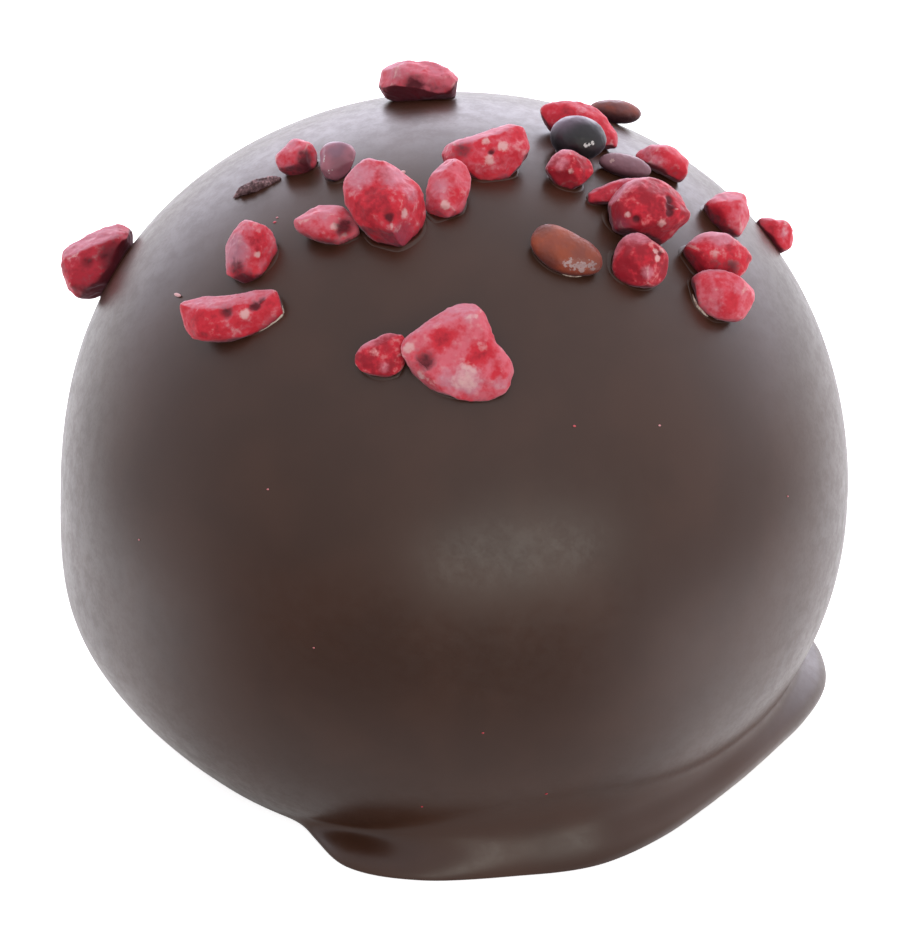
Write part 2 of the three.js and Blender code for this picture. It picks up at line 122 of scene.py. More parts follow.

# The pieces that the front shows. Their order sets the seeds of their facets.
# Marks that darken paint shade in holes, pits and on lower edges; small pale marks paint highlights, such as
# glints.
TOPPINGS = (
    Topping("left block", -104.5, 61, (3.3, 2.15, 2), 50, 0.9, 0.74, 2.5, 4,
            (1.15, 0.9, 1.15, 0.85, 0.85, 0.9, 0.95, 0.85), ((60, 40, 0.85), (-150, 35, 0.85)),
            kind=Kind.CHUNK, blush=0.15, plum=0.15,
            marks=(Mark(-45, 38, 0.75, Tint.PAINTED_SHADE, 0.1, 0.9), Mark(158, 79, 0.3, Tint.PAINTED_SHADE, 0.05, 0.6),
                   Mark(120, 50, 0.5, Tint.DUST_AND_PAINTED_LIGHT, 0, 0.3))),
    Topping("top boat", -167, 21.8, (3.15, 1.45, 1.5), 0, 0.9, 0.58, 2.5, 3,
            (0.95, 0.85, 1, 1.1, 1, 1.05, 1, 1.2), ((80, 45, 0.85), (-100, 30, 0.85)),
            kind=Kind.CHUNK, blush=0.9, plum=0.1,
            marks=(Mark(-130, 60, 0.45, Tint.PAINTED_SHADE, 0.08, 0.9), Mark(-30, 50, 0.3, Tint.PAINTED_SHADE, 0.04, 0.5),
                   Mark(160, 40, 0.5, Tint.DUST_AND_PAINTED_LIGHT, 0, 0.5), Mark(30, 40, 0.5, Tint.DUST_AND_PAINTED_LIGHT, 0, 0.4))),
    Topping("left nugget", -89.5, 22.3, (1.6, 1.4, 1.2), 0, 0.7, 0.42, 2.5, 2,
            (0.95, 0.8, 1, 0.75, 0.95, 0.9, 0.9, 0.85),
            ((130, 45, 0.82), (-10, 35, 0.8), (-100, 40, 0.85)), blush=0.65,
            marks=(Mark(-30, 45, 0.42, Tint.PAINTED_SHADE, 0, 0.9), Mark(-125, 30, 0.3, Tint.DUST_AND_PAINTED_LIGHT, 0, 0.6),
                   Mark(100, 50, 0.3, Tint.DUST_AND_PAINTED_LIGHT, 0, 0.5))),
    Topping("plum skin", -77, 17.2, (1.35, 1.45, 0.95), 0, 0.7, 0.42, 2.5, 2,
            (1.1, 1, 0.95, 0.9, 0.9, 0.85, 1.1, 0.9), kind=Kind.SKIN, blush=0.35, plum=0.12,
            marks=(Mark(85, 48, 0.4, Tint.DUST_AND_PAINTED_LIGHT, 0, 0.6), Mark(-60, 45, 0.4, Tint.PAINTED_SHADE, 0, 0.4))),
    Topping("big knob", -29.3, 19.8, (3.4, 2.5, 2.1), -56, 0.6, 0.75, 2.5, 3,
            (1, 0.97, 1.05, 0.9, 1.02, 0.92, 0.92, 1), ((20, 32, 0.86), (100, 45, 0.9), (-70, 40, 0.92)),
            kind=Kind.CHUNK, blush=0.3,
            marks=(Mark(-169, 30, 0.75, Tint.DUST_AND_PAINTED_LIGHT, 0, 0.75), Mark(120, 35, 0.7, Tint.DUST_AND_PAINTED_LIGHT, 0, 0.75),
                   Mark(70, 35, 0.5, Tint.DUST_AND_PAINTED_LIGHT, 0, 0.65), Mark(-18, 48, 0.26, Tint.PAINTED_SHADE, 0.16, 0.9),
                   Mark(16, 38, 0.22, Tint.PALE, 0, 1.0), Mark(-90, 70, 0.6, Tint.RED, 0, 0.8),
                   Mark(-10, 8, 0.6, Tint.PLUM, 0, 0.7), Mark(150, 60, 0.25, Tint.PAINTED_SHADE, 0.05, 0.3))),
    Topping("wedge", -44.5, 25.3, (2.35, 1.4, 1.2), -8, 0.6, 0.4, 2.5, 2,
            (0.9, 0.95, 1.15, 0.8, 1.1, 0.8, 0.85, 1.02), ((3, 45, 0.76), (95, 42, 0.85)), blush=0.85,
            marks=(Mark(-12, 32, 0.4, Tint.PAINTED_SHADE, 0.06, 0.9), Mark(-35, 55, 0.16, Tint.PALE, 0, 1.0),
                   Mark(-29, 12, 0.16, Tint.PALE, 0, 1.0), Mark(150, 60, 0.4, Tint.DUST_AND_PAINTED_LIGHT, 0, 0.6),
                   Mark(-80, 35, 0.35, Tint.RED, 0, 0.6))),
    Topping("pear", -59, 34.8, (2.35, 1.75, 1.45), 66, 0.7, 0.46, 2.5, 2,
            (1.05, 0.87, 0.82, 1.05, 0.95, 0.95, 1.15, 0.93),
            ((114, 38, 0.72), (-60, 40, 0.8), (194, 35, 0.88)), kind=Kind.CHUNK, blush=0.62,
            marks=(Mark(125, 55, 0.6, Tint.PLUM, 0, 0.45), Mark(-50, 45, 0.45, Tint.RED, 0, 0.9),
                   Mark(125, 45, 0.8, Tint.DUST_AND_PAINTED_LIGHT, 0, 0.9), Mark(-156, 0, 0.6, Tint.PAINTED_SHADE, 0, 1.0),
                   Mark(-99, 46, 0.15, Tint.PALE, 0, 1.0), Mark(180, 30, 0.4, Tint.PAINTED_SHADE, 0.04, 0.8),
                   Mark(10, 55, 0.35, Tint.DUST_AND_PAINTED_LIGHT, 0, 0.5))),
    Topping("long bean", -49.5, 43, (3.75, 1.5, 1.3), 5, 0.6, 0.38, 2.5, 3,
            (1, 1.1, 0.9, 1.2, 1, 1.05, 1.1, 0.9), ((90, 48, 0.86),), kind=Kind.CHUNK, blush=0.4,
            marks=(Mark(166, 77, 0.3, Tint.PAINTED_SHADE, 0.14, 0.7), Mark(8, 33, 0.26, Tint.PAINTED_SHADE, 0.16, 0.9),
                   Mark(16, 24, 0.2, Tint.PAINTED_SHADE, 0.1, 0.7), Mark(-14, 48, 0.2, Tint.PALE, 0, 0.9),
                   Mark(140, 25, 0.5, Tint.DUST_AND_PAINTED_LIGHT, 0, 0.6), Mark(100, 40, 0.3, Tint.DUST_AND_PAINTED_LIGHT, 0, 0.5),
                   Mark(-160, 30, 0.6, Tint.RED, 0, 0.8))),
    Topping("upright flake", -4, 14.2, (2.35, 1.4, 1.2), 72, 0.7, 0.42, 2.5, 3,
            (1, 1, 1, 0.92, 1, 1, 1, 0.95), ((110, 40, 0.8), (-60, 45, 0.88)), kind=Kind.CHUNK, blush=0.75,
            marks=(Mark(120, 60, 0.5, Tint.DUST_AND_PAINTED_LIGHT, 0, 0.6), Mark(-170, 40, 0.2, Tint.PALE, 0, 1.0),
                   Mark(-100, 50, 0.35, Tint.RED, 0, 0.7), Mark(170, 25, 0.3, Tint.PLUM, 0, 0.4))),
    Topping("ridge flake", 43, 7.2, (3.1, 1.95, 1.3), 22, 0.6, 0.5, 2.5, 4,
            (1, 0.95, 0.78, 1.1, 0.96, 0.78, 1.2, 0.87), ((85, 45, 0.82), (-85, 42, 0.85)),
            kind=Kind.CHUNK, blush=0.45,
            marks=(Mark(-29, 56, 0.22, Tint.PALE, 0, 0.9), Mark(-117, 50, 0.2, Tint.PALE, 0, 0.9),
                   Mark(121, 74, 0.2, Tint.PALE, 0, 0.8), Mark(-100, 70, 0.16, Tint.PAINTED_SHADE, 0.1, 0.8),
                   Mark(165, 30, 0.4, Tint.PAINTED_SHADE, 0.04, 0.6), Mark(-70, 30, 0.4, Tint.DUST_AND_PAINTED_LIGHT, 0, 0.4))),
    Topping("small flake", -14.5, 42, (1.95, 1.4, 0.8), 20, 0.5, 0.24, 2.5, 3,
            (1, 1.15, 0.92, 0.93, 1, 0.86, 1.05, 1.05), ((80, 55, 0.88),), blush=0.0,
            marks=(Mark(141, 50, 0.25, Tint.PALE, 0, 0.5), Mark(-102, 30, 0.3, Tint.DUST_AND_PAINTED_LIGHT, 0, 0.5),
                   Mark(35, 55, 0.25, Tint.PAINTED_SHADE, 0.03, 0.4))),
    Topping("peak flake", 1, 41.3, (3.85, 3.3, 1.2), -10, 0.5, 0.38, 2.5, 3,
            (0.93, 0.66, 0.78, 1.16, 0.84, 0.82, 1.03, 0.98, 0.87, 0.9, 0.95, 1.03),
            ((0, 90, 0.75), (-70, 50, 0.85), (120, 50, 0.85)), kind=Kind.CHUNK, blush=0.8,
            marks=(Mark(-157, 20, 0.42, Tint.PAINTED_SHADE, 0.2, 0.85), Mark(-175, 12, 0.22, Tint.PALE, 0, 0.9),
                   Mark(-140, 4, 0.25, Tint.PALE, 0, 0.9), Mark(-66, 24, 0.6, Tint.DUST_AND_PAINTED_LIGHT, 0, 1.0),
                   Mark(-100, 22, 0.45, Tint.DUST_AND_PAINTED_LIGHT, 0, 0.8), Mark(152, 32, 0.4, Tint.RED, 0.03, 0.8),
                   Mark(13, 31, 0.4, Tint.RED, 0.04, 0.9), Mark(-30, 45, 0.25, Tint.RED, 0.02, 0.6),
                   Mark(-19, 18, 0.25, Tint.RED, 0.03, 0.7), Mark(88, 15, 0.4, Tint.DUST_AND_PAINTED_LIGHT, 0, 0.6),
                   Mark(-26, 10, 0.3, Tint.DUST_AND_PAINTED_LIGHT, 0, 0.6), Mark(-62, 28, 0.55, Tint.PALE, 0, 0.75),
                   Mark(-88, 22, 0.35, Tint.PALE, 0, 0.6), Mark(-125, 8, 0.25, Tint.PALE, 0, 0.7))),
    Topping("dome backing", 113, 19.3, (3.1, 1.6, 0.9), -22, 0.7, 0.5, 2.5, 2,
            (1.02, 0.8, 1, 0.8, 0.95, 0.9, 0.9, 0.95), ((90, 50, 0.85),), blush=0.4,
            marks=(Mark(170, 40, 0.4, Tint.RED, 0, 0.5), Mark(-10, 40, 0.4, Tint.DUST_AND_PAINTED_LIGHT, 0, 0.5))),
    Topping("dark dome", 95, 17.4, (1.95, 1.55, 1.35), -10, 0.85, 0.64, 2, 0, PLAIN,
            kind=Kind.SKIN, blush=0.0, plum=1.0,
            marks=(Mark(-50, 60, 0.6, Tint.PAINTED_SHADE, 0, 0.9), Mark(140, 25, 0.5, Tint.DUST_AND_PAINTED_LIGHT, 0, 0.45),
                   # These three small pale marks are painted highlights: glints on the dark skin.
                   Mark(-53, 54, 0.08, Tint.PALE, 0, 0.9), Mark(-32, 50, 0.06, Tint.PALE, 0, 0.8),
                   Mark(-20, 46, 0.09, Tint.PALE, 0, 0.8))),
    Topping("edge seed", 136.5, 35, (1.85, 0.85, 1.1), -6, 0.9, 0.38, 2, 0, PLAIN, kind=Kind.SEED,
            blush=0.25, plum=0.0, marks=(Mark(10, 50, 0.35, Tint.DUST_AND_PAINTED_LIGHT, 0, 0.5),)),
    Topping("bright nugget", 68, 17.5, (1.7, 1.35, 1.15), -3, 0.7, 0.5, 2.5, 1,
            (1, 0.8, 0.92, 1.02, 0.97, 0.88, 1.1, 0.98),
            ((150, 48, 0.82), (-30, 45, 0.85), (60, 50, 0.85), (-110, 40, 0.86)), blush=-0.1,
            marks=(Mark(173, 50, 0.35, Tint.DUST_AND_PAINTED_LIGHT, 0, 0.55), Mark(-90, 65, 0.13, Tint.PALE, 0, 0.9),
                   Mark(-40, 35, 0.35, Tint.RED, 0, 0.8))),
    Topping("plum seed", 88.5, 24.5, (1.85, 0.8, 0.75), -11, 0.7, 0.36, 2, 0, PLAIN, kind=Kind.SEED,
            blush=0.0, plum=0.85,
            marks=(Mark(-178, 30, 0.1, Tint.PALE, 0, 0.9), Mark(-8, 55, 0.25, Tint.PLUM, 0, 1.0))),
    Topping("rose nugget", 100, 31.2, (1.9, 1.3, 1.15), -15, 0.8, 0.44, 2.5, 2,
            (0.8, 0.9, 0.9, 0.84, 1.15, 0.82, 0.8, 1.02),
            ((-60, 45, 0.85), (60, 50, 0.85), (170, 40, 0.82)), blush=0.5,
            marks=(Mark(-15, 40, 0.35, Tint.RED, 0, 0.6), Mark(-157, 50, 0.3, Tint.DUST_AND_PAINTED_LIGHT, 0, 0.4))),
    Topping("shell arm", 69, 24.7, (2.2, 0.7, 0.75), 17, 0.7, 0.45, 2.5, 2, PLAIN, blush=0.4, plum=0.15,
            marks=(Mark(180, 30, 0.25, Tint.RED, 0, 0.5), Mark(20, 50, 0.3, Tint.PLUM, 0, 0.4))),
    Topping("curled shell", 65, 30, (2.95, 2.4, 2), 0, 0.7, 0.62, 2.5, 3,
            (1, 0.98, 1.06, 0.93, 1, 0.85, 0.85, 0.95), ((40, 35, 0.88), (-40, 40, 0.88)),
            kind=Kind.CHUNK, blush=-0.15,
            marks=(Mark(30, 45, 0.2, Tint.PAINTED_SHADE, 0.08, 1.0), Mark(12, 52, 0.24, Tint.PAINTED_SHADE, 0.12, 1.0),
                   Mark(-8, 54, 0.2, Tint.PAINTED_SHADE, 0.08, 1.0), Mark(-142, 54, 0.17, Tint.PAINTED_SHADE, 0.1, 0.9),
                   Mark(-165, 48, 0.12, Tint.PALE, 0, 0.9), Mark(-54, 55, 0.22, Tint.PALE, 0, 0.7),
                   Mark(100, 55, 0.45, Tint.DUST_AND_PAINTED_LIGHT, 0, 0.35), Mark(150, 75, 0.5, Tint.RED, 0, 0.8),
                   Mark(-150, 25, 0.4, Tint.PLUM, 0, 0.6))),
    Topping("shell foot", 51, 34, (2, 1.95, 1.5), 0, 0.7, 0.46, 2.5, 1,
            (1, 0.88, 0.97, 1, 1, 0.95, 1, 1),
            ((100, 45, 0.86), (-30, 42, 0.86), (-120, 45, 0.85), (200, 45, 0.86)), blush=-0.15,
            marks=(Mark(22, 55, 0.12, Tint.PALE, 0.03, 1.0), Mark(-6, 50, 0.14, Tint.PALE, 0, 1.0),
                   Mark(-72, 45, 0.3, Tint.DUST_AND_PAINTED_LIGHT, 0, 0.6), Mark(-163, 65, 0.35, Tint.RED, 0, 0.7),
                   Mark(10, 40, 0.12, Tint.PAINTED_SHADE, 0.06, 0.8))),
    Topping("amber seed", 34.5, 28, (2.6, 1.5, 1.2), -28, 0.5, 0.33, 2, 0,
            (1.02, 1.03, 0.88, 1.02, 0.98, 1.06, 1.1, 0.95), kind=Kind.SEED, blush=0.85,
            marks=(Mark(-58, 34, 0.22, Tint.PALE, 0, 0.8), Mark(-28, 24, 0.24, Tint.PALE, 0, 1.0),
                   Mark(-8, 20, 0.22, Tint.PALE, 0, 0.9), Mark(25, 38, 0.8, Tint.PAINTED_SHADE, 0, 0.3),
                   Mark(0, 12, 0.5, Tint.PAINTED_SHADE, 0, 0.45), Mark(-115, 5, 0.5, Tint.PAINTED_SHADE, 0, 0.7),
                   Mark(165, 8, 0.45, Tint.PAINTED_SHADE, 0, 0.6), Mark(70, 15, 0.4, Tint.PAINTED_SHADE, 0, 0.4))),
    Topping("right nugget", 90.5, 41, (1.7, 1.65, 1.35), 0, 0.8, 0.44, 2.5, 1,
            (0.9, 0.96, 0.97, 0.86, 1.1, 0.74, 1, 1), ((-5, 38, 0.82), (210, 40, 0.82), (100, 42, 0.86)),
            blush=0.7,
            marks=(Mark(15, 50, 0.35, Tint.DUST_AND_PAINTED_LIGHT, 0, 0.55), Mark(-163, 60, 0.4, Tint.RED, 0, 0.7))),
    Topping("cap lobe", 71, 41, (2.6, 1.75, 1.6), -5, 0.7, 0.5, 2.1, 3,
            (1, 0.95, 1, 0.92, 1.02, 1, 1, 1), blush=0.2,
            marks=(Mark(-172, 71, 0.25, Tint.PALE, 0, 0.5), Mark(95, 25, 0.7, Tint.DUST_AND_PAINTED_LIGHT, 0, 0.9),
                   Mark(-60, 45, 0.45, Tint.PAINTED_SHADE, 0.05, 0.6), Mark(-120, 50, 0.4, Tint.PAINTED_SHADE, 0.03, 0.5))),
    Topping("chin lobe", 63.5, 44.7, (2.5, 1.85, 1.4), -8, 0.7, 0.42, 2.5, 2,
            (0.95, 0.95, 0.92, 0.93, 1, 0.88, 0.95, 0.93),
            ((-20, 45, 0.86), (-120, 45, 0.84), (90, 60, 0.88)), blush=0.7,
            marks=(Mark(25, 60, 0.35, Tint.DUST_AND_PAINTED_LIGHT, 0, 0.35), Mark(-101, 50, 0.35, Tint.DUST_AND_PAINTED_LIGHT, 0, 0.4),
                   Mark(-60, 60, 0.3, Tint.RED, 0, 0.4))),
    Topping("edge nugget", 108.5, 56, (1.6, 1.05, 0.95), -42, 0.8, 0.28, 2.5, 2,
            (0.92, 0.88, 1.1, 0.75, 1.1, 0.75, 0.9, 0.95), ((30, 40, 0.84),), blush=0.5,
            marks=(Mark(8, 60, 0.3, Tint.DUST_AND_PAINTED_LIGHT, 0, 0.5), Mark(-165, 50, 0.3, Tint.RED, 0, 0.5))),
    Topping("stalk crumb", -87.3, 28.9, (1.6, 0.42, 0.4), 12, 0.5, 0.08, 2, 0, PLAIN, kind=Kind.STALK,
            blush=0.0,
            marks=(Mark(-148, 43, 0.12, Tint.PALE, 0, 0.6), Mark(0, 30, 0.12, Tint.PAINTED_SHADE, 0.05, 1))),
)


def fleck(around: float, down: float, size: float, blush: float, turn: float = 0.0,
          marks: tuple[Mark, ...] = (), width: float = 0.7) -> Topping:
    """A fleck on the chocolate, flatter than it is wide.

    Args:
        around: Where it lies round the ball.
        down: How far down from the top it lies.
        size: Its length.
        blush: How pink it is.
        turn: Its turn.
        marks: Its marks.
        width: Its width as a share of its length.

    Returns:
        The fleck.
    """
    flat = 0.65
    sizes = (size, size * width, size * width * flat)
    return Topping("fleck", around, down, sizes, turn, 0, size * 0.1, 2, 0, PLAIN, kind=Kind.FLECK,
                   blush=blush, marks=marks)


# Small loose things that the part's solid leaves out. The photo shows the thread and the first
# three flecks. The other flecks are guesses.
LOOSE_BITS = (
    Topping("stalk thread", -88, 31.2, (0.95, 0.2, 0.18), 14, 0.3, 0.03, 2, 0, PLAIN, kind=Kind.STALK,
            blush=0),
    fleck(-47.2, 10.3, 0.28, 1.0, 40, PALE_ALL), fleck(-68.8, 46.0, 0.42, 1.0, -42, PALE_ALL, 0.3),
    fleck(-65.6, 29.0, 0.13, 0.8), fleck(-66.9, 28.3, 0.1, 0.8), fleck(36.5, 55.5, 0.1, 0.6),
    fleck(21.1, 52.4, 0.11, 0.3), fleck(-30, 63, 0.09, 0.5), fleck(4, 96, 0.09, 0.2),
    fleck(-20, 84, 0.08, 0.4), fleck(58, 74, 0.08, 0.5), fleck(-52, 78, 0.09, 0.1),
    fleck(14, 110, 0.1, 0.2), fleck(-5, 112, 0.08, 0.4), fleck(160, 48, 0.14, 0.6),
    fleck(-130, 66, 0.12, 0.4), fleck(118, 80, 0.1, 0.7),
)


def as_metres(points: np.ndarray) -> list[list[float]]:
    """Points in metres, as a mesh takes them.

    Args:
        points: Points in millimetres.

    Returns:
        The points as plain lists in metres.
    """
    return (np.asarray(points) * MM).tolist()


def curve_around(stations: np.ndarray, angle: np.ndarray) -> np.ndarray:
    """The value at some angles of a smooth closed curve.

    Args:
        stations: Rows of angle and value that the curve goes through.
        angle: The angles asked for.

    Returns:
        One value for each angle.
    """
    count = len(stations)
    first = stations[0, 0]
    turned = first + (np.asarray(angle, float) - first) % 360
    index = np.searchsorted(stations[:, 0], turned, side="right") - 1

    def station(offset: int) -> tuple[np.ndarray, np.ndarray]:
        """The station some steps on, counted on past the closing of the curve."""
        step = index + offset
        return stations[step % count, 0] + 360 * (step // count), stations[step % count, 1]

    (x0, v0), (x1, v1), (x2, v2), (x3, v3) = (station(offset) for offset in (-1, 0, 1, 2))
    span = x2 - x1
    t = (turned - x1) / span
    slope1 = (v2 - v0) / (x2 - x0) * span
    slope2 = (v3 - v1) / (x3 - x1) * span
    return ((2 * t**3 - 3 * t**2 + 1) * v1 + (t**3 - 2 * t**2 + t) * slope1
            + (3 * t**2 - 2 * t**3) * v2 + (t**3 - t**2) * slope2)


class Draws:
    """Even draws from 0 to 1 that are the same for the same seed."""

    WORD = 0xFFFFFFFF

    def __init__(self, seed: int) -> None:
        """Starts the draws at a seed."""
        self.state = seed & self.WORD

    def even(self) -> float:
        """The next draw."""
        self.state = (self.state + 0x6D2B79F5) & self.WORD
        mixed = self.state
        mixed = ((mixed ^ (mixed >> 15)) * (mixed | 1)) & self.WORD
        mixed ^= (mixed + (((mixed ^ (mixed >> 7)) * (mixed | 61)) & self.WORD)) & self.WORD
        return (mixed ^ (mixed >> 14)) / (self.WORD + 1)

    def between(self, low: float, high: float) -> float:
        """The next draw, spread between two values."""
        return low + (high - low) * self.even()


@dataclass(frozen=True)
class ChocolateForm:
    """The outer form of the chocolate: a ball with slow swells, on the foot that ran out round it."""

    ball_radius: float = 14.0
    belly_height: float = 8.1
    crown_rise: float = 13.7
    flank_drop: float = 12.1
    ball_fullness: float = 2.13
    swells: tuple[tuple[float, ...], ...] = (
        (-84, 3.6, 0.45, 38, 2.8), (-112, 16.5, 0.2, 50, 4), (122, 17.5, 0.12, 30, 3))
    rim_width: float = 1.2
    rim_fullness: float = 1.7
    # Stations round the foot: around, reach, thickness, height where it is widest, and fillet.
    foot: tuple[tuple[float, ...], ...] = (
        (-180, 11.3, 0.9, 0.3, 0.7), (-110, 10.5, 0.9, 0.3, 0.6), (-60, 10.2, 0.9, 0.3, 0.5),
        (-33, 10.5, 0.7, 0.1, 0.4), (-25, 11.6, 0.65, 0.1, 0.4), (-17, 12.82, 0.7, 0.05, 0.5),
        (-6, 13.13, 0.95, 0, 1.3), (10, 12.92, 1.2, 0.05, 2.2), (22, 13.14, 1.4, 0.25, 2),
        (34, 12.91, 1.6, 0.5, 1.3), (45, 12.72, 1.85, 0.75, 0.8), (54, 12.76, 2.05, 0.95, 0.6),
        (64, 12.86, 2, 0.95, 0.6), (74, 13.15, 1.8, 0.8, 0.7), (84, 13.43, 1.5, 0.6, 0.9),
        (92, 13.34, 1.3, 0.5, 0.9), (101, 13, 1.2, 0.4, 0.8), (130, 12, 1, 0.3, 0.7))
    far: float = 26.0
    march_step: float = 0.25
    bisections: int = 24

    def section(self, around: np.ndarray) -> tuple[np.ndarray, ...]:
        """The foot's reach, thickness, widest height and fillet at some angles."""
        stations = np.array(self.foot)
        return tuple(curve_around(stations[:, [0, column]], around) for column in (1, 2, 3, 4))

    def distance(self, around: np.ndarray, radius: np.ndarray, height: np.ndarray,
                 section: tuple[np.ndarray, ...]) -> np.ndarray:
        """The distance to the chocolate's surface, negative inside.

        Args:
            around: Where each point lies about the Z axis.
            radius: Its distance from that axis.
            height: Its height above the table.
            section: The foot's sizes at its angle.

        Returns:
            One distance for each point.
        """
        belly = np.full(around.shape, self.ball_radius)
        for swell_around, swell_height, out, wide, tall in self.swells:
            turn = (around - swell_around + 180) % 360 - 180
            belly = belly + out * np.exp(-((turn / wide) ** 2 + ((height - swell_height) / tall) ** 2))
        above = height - self.belly_height
        rise = np.where(above > 0, self.crown_rise, self.flank_drop)
        powers = (radius / belly) ** self.ball_fullness + (np.abs(above) / rise) ** self.ball_fullness
        ball = (powers ** (1 / self.ball_fullness) - 1) * np.minimum(belly, rise)
        reach, thickness, widest, fillet = section
        past = np.maximum(radius - reach + self.rim_width, 0) / self.rim_width
        half_rim = thickness - widest
        slopes = past**self.rim_fullness + (np.abs(height - widest) / half_rim) ** self.rim_fullness
        foot = (slopes ** (1 / self.rim_fullness) - 1) * np.minimum(self.rim_width, half_rim)
        overlap = np.maximum(fillet - np.abs(ball - foot), 0) / fillet
        return np.minimum(ball, foot) - overlap**2 * fillet / 4

    def surface(self, around: np.ndarray, tilt: np.ndarray, start_height: float) -> np.ndarray:
        """The points where rays from the Z axis leave the chocolate.

        Args:
            around: Where each ray heads about the Z axis.
            tilt: Its tilt from straight up.
            start_height: The height that the rays start at.

        Returns:
            One row of X, Y and Z for each ray.
        """
        around, tilt = np.broadcast_arrays(np.asarray(around, float), np.asarray(tilt, float))
        shape = around.shape
        around, tilt = around.ravel(), tilt.ravel()
        section = np.array(self.section(around))
        sine, cosine = np.sin(np.radians(tilt)), np.cos(np.radians(tilt))

        def inside(rays: np.ndarray, reach: np.ndarray) -> np.ndarray:
            """Whether the points at a reach along some rays are in the chocolate."""
            return self.distance(around[rays], reach * sine[rays], start_height + reach * cosine[rays],
                                 section[:, rays]) < 0

        outer = np.full(around.shape, self.far)
        rays = np.arange(len(around))
        while len(rays):
            rays = rays[~inside(rays, outer[rays] - self.march_step)]
            outer[rays] -= self.march_step
        inner = outer - self.march_step
        every = np.arange(len(around))
        for _ in range(self.bisections):
            middle = (inner + outer) / 2
            within = inside(every, middle)
            inner, outer = np.where(within, middle, inner), np.where(within, outer, middle)
        turn = np.radians(around)
        points = np.stack([inner * sine * np.sin(turn), -inner * sine * np.cos(turn),
                           start_height + inner * cosine], -1)
        return points.reshape(*shape, 3)

    def crown(self, around: np.ndarray, down: np.ndarray) -> np.ndarray:
        """Points of the surface, by their angle down from the top as seen from the ball's middle."""
        return self.surface(around, down, self.belly_height)

    def distance_of(self, points: np.ndarray) -> np.ndarray:
        """The distance of points to the surface, negative inside.

        Args:
            points: Rows of X, Y and Z.

        Returns:
            One distance for each point.
        """
        around = np.degrees(np.arctan2(points[:, 0], -points[:, 1]))
        radius = np.hypot(points[:, 0], points[:, 1])
        return self.distance(around, radius, points[:, 2], self.section(around))


@dataclass(frozen=True)
class Placing:
    """Where a topping lies: its middle, the spot below it and the directions along it."""

    spot: np.ndarray
    outward: np.ndarray
    middle: np.ndarray
    length: np.ndarray
    width: np.ndarray
    normal: np.ndarray

    # How far the spots lie apart that the slope of the chocolate is taken from.
    STEP = 0.5

    @property
    def across(self) -> np.ndarray:
        """The topping's own three directions, as rows."""
        return np.stack([self.length, self.width, self.normal])

    @classmethod
    def on(cls, form: ChocolateForm, topping: Topping) -> "Placing":
        """Places a topping on the chocolate.

        Args:
            form: The chocolate that it lies on.
            topping: The piece to place.

        Returns:
            Its place and directions.
        """
        around = topping.around + np.array([0, cls.STEP, -cls.STEP, 0, 0])
        down = topping.down + np.array([0, 0, 0, cls.STEP, -cls.STEP])
        points = form.crown(around, down)
        outward = unit(np.cross(points[3] - points[4], points[1] - points[2]))
        normal = unit(outward * (1 - topping.facing) + VIEWWARD * topping.facing)
        level = unit(np.array([1.0, 0, 0]) - normal[0] * normal)
        turn = math.radians(topping.turn)
        length = level * math.cos(turn) + np.cross(normal, level) * math.sin(turn)
        middle = points[0] + outward * topping.lift
        return cls(points[0], outward, middle, length, np.cross(normal, length), normal)

    def over(self, form: ChocolateForm, headings: np.ndarray, reach: np.ndarray,
             rise: np.ndarray) -> np.ndarray:
        """Points over the chocolate round the spot below the topping.

        Args:
            form: The chocolate.
            headings: Where each point lies from the spot, turned from the topping's length.
            reach: How far each lies from the spot.
            rise: How high each lies over the chocolate's surface.

        Returns:
            The points.
        """
        along = unit(self.length - self.outward * (self.length @ self.outward))
        side = np.cross(self.outward, along)
        turn = np.radians(headings)
        out = np.cos(turn)[:, None] * along + np.sin(turn)[:, None] * side
        ray = self.spot + out * reach[:, None] - np.array([0, 0, form.belly_height])
        around = np.degrees(np.arctan2(ray[:, 0], -ray[:, 1]))
        down = np.degrees(np.arctan2(np.hypot(ray[:, 0], ray[:, 1]), ray[:, 2]))
        return form.crown(around, down) + self.outward * rise[:, None]


def unit(vector: np.ndarray) -> np.ndarray:
    """A vector at length one."""
    return vector / np.linalg.norm(vector)


def direction(heading: float, rise: float) -> np.ndarray:
    """The direction with a heading in the piece's plane and a rise above it."""
    turn, up = math.radians(heading), math.radians(rise)
    return np.array([math.cos(up) * math.cos(turn), math.cos(up) * math.sin(turn), math.sin(up)])


def ball_grid(level: int) -> tuple[np.ndarray, np.ndarray]:
    """An even net of triangles on a ball of radius one.

    Args:
        level: How often its 20 triangles are split.

    Returns:
        The points, and the three corners of each triangle.
    """
    net = bmesh.new()
    bmesh.ops.create_icosphere(net, subdivisions=level + 1, radius=1.0)
    points = np.array([vertex.co for vertex in net.verts])
    corners = np.array([[vertex.index for vertex in face.verts] for face in net.faces])
    net.free()
    return points / np.linalg.norm(points, axis=1)[:, None], corners


def ring_faces(base: int, columns: int, steps: int) -> list[list[int]]:
    """The faces of a closed ring whose columns each hold a closed line of points.

    Args:
        base: The number of its first point.
        columns: How many columns it has.
        steps: How many points each column has.

    Returns:
        The corners of each face.
    """
    faces = []
    for column in range(columns):
        here, ahead = base + column * steps, base + (column + 1) % columns * steps
        for step in range(steps):
            turn = (step + 1) % steps
            faces.append([here + step, here + turn, ahead + turn, ahead + step])
    return faces


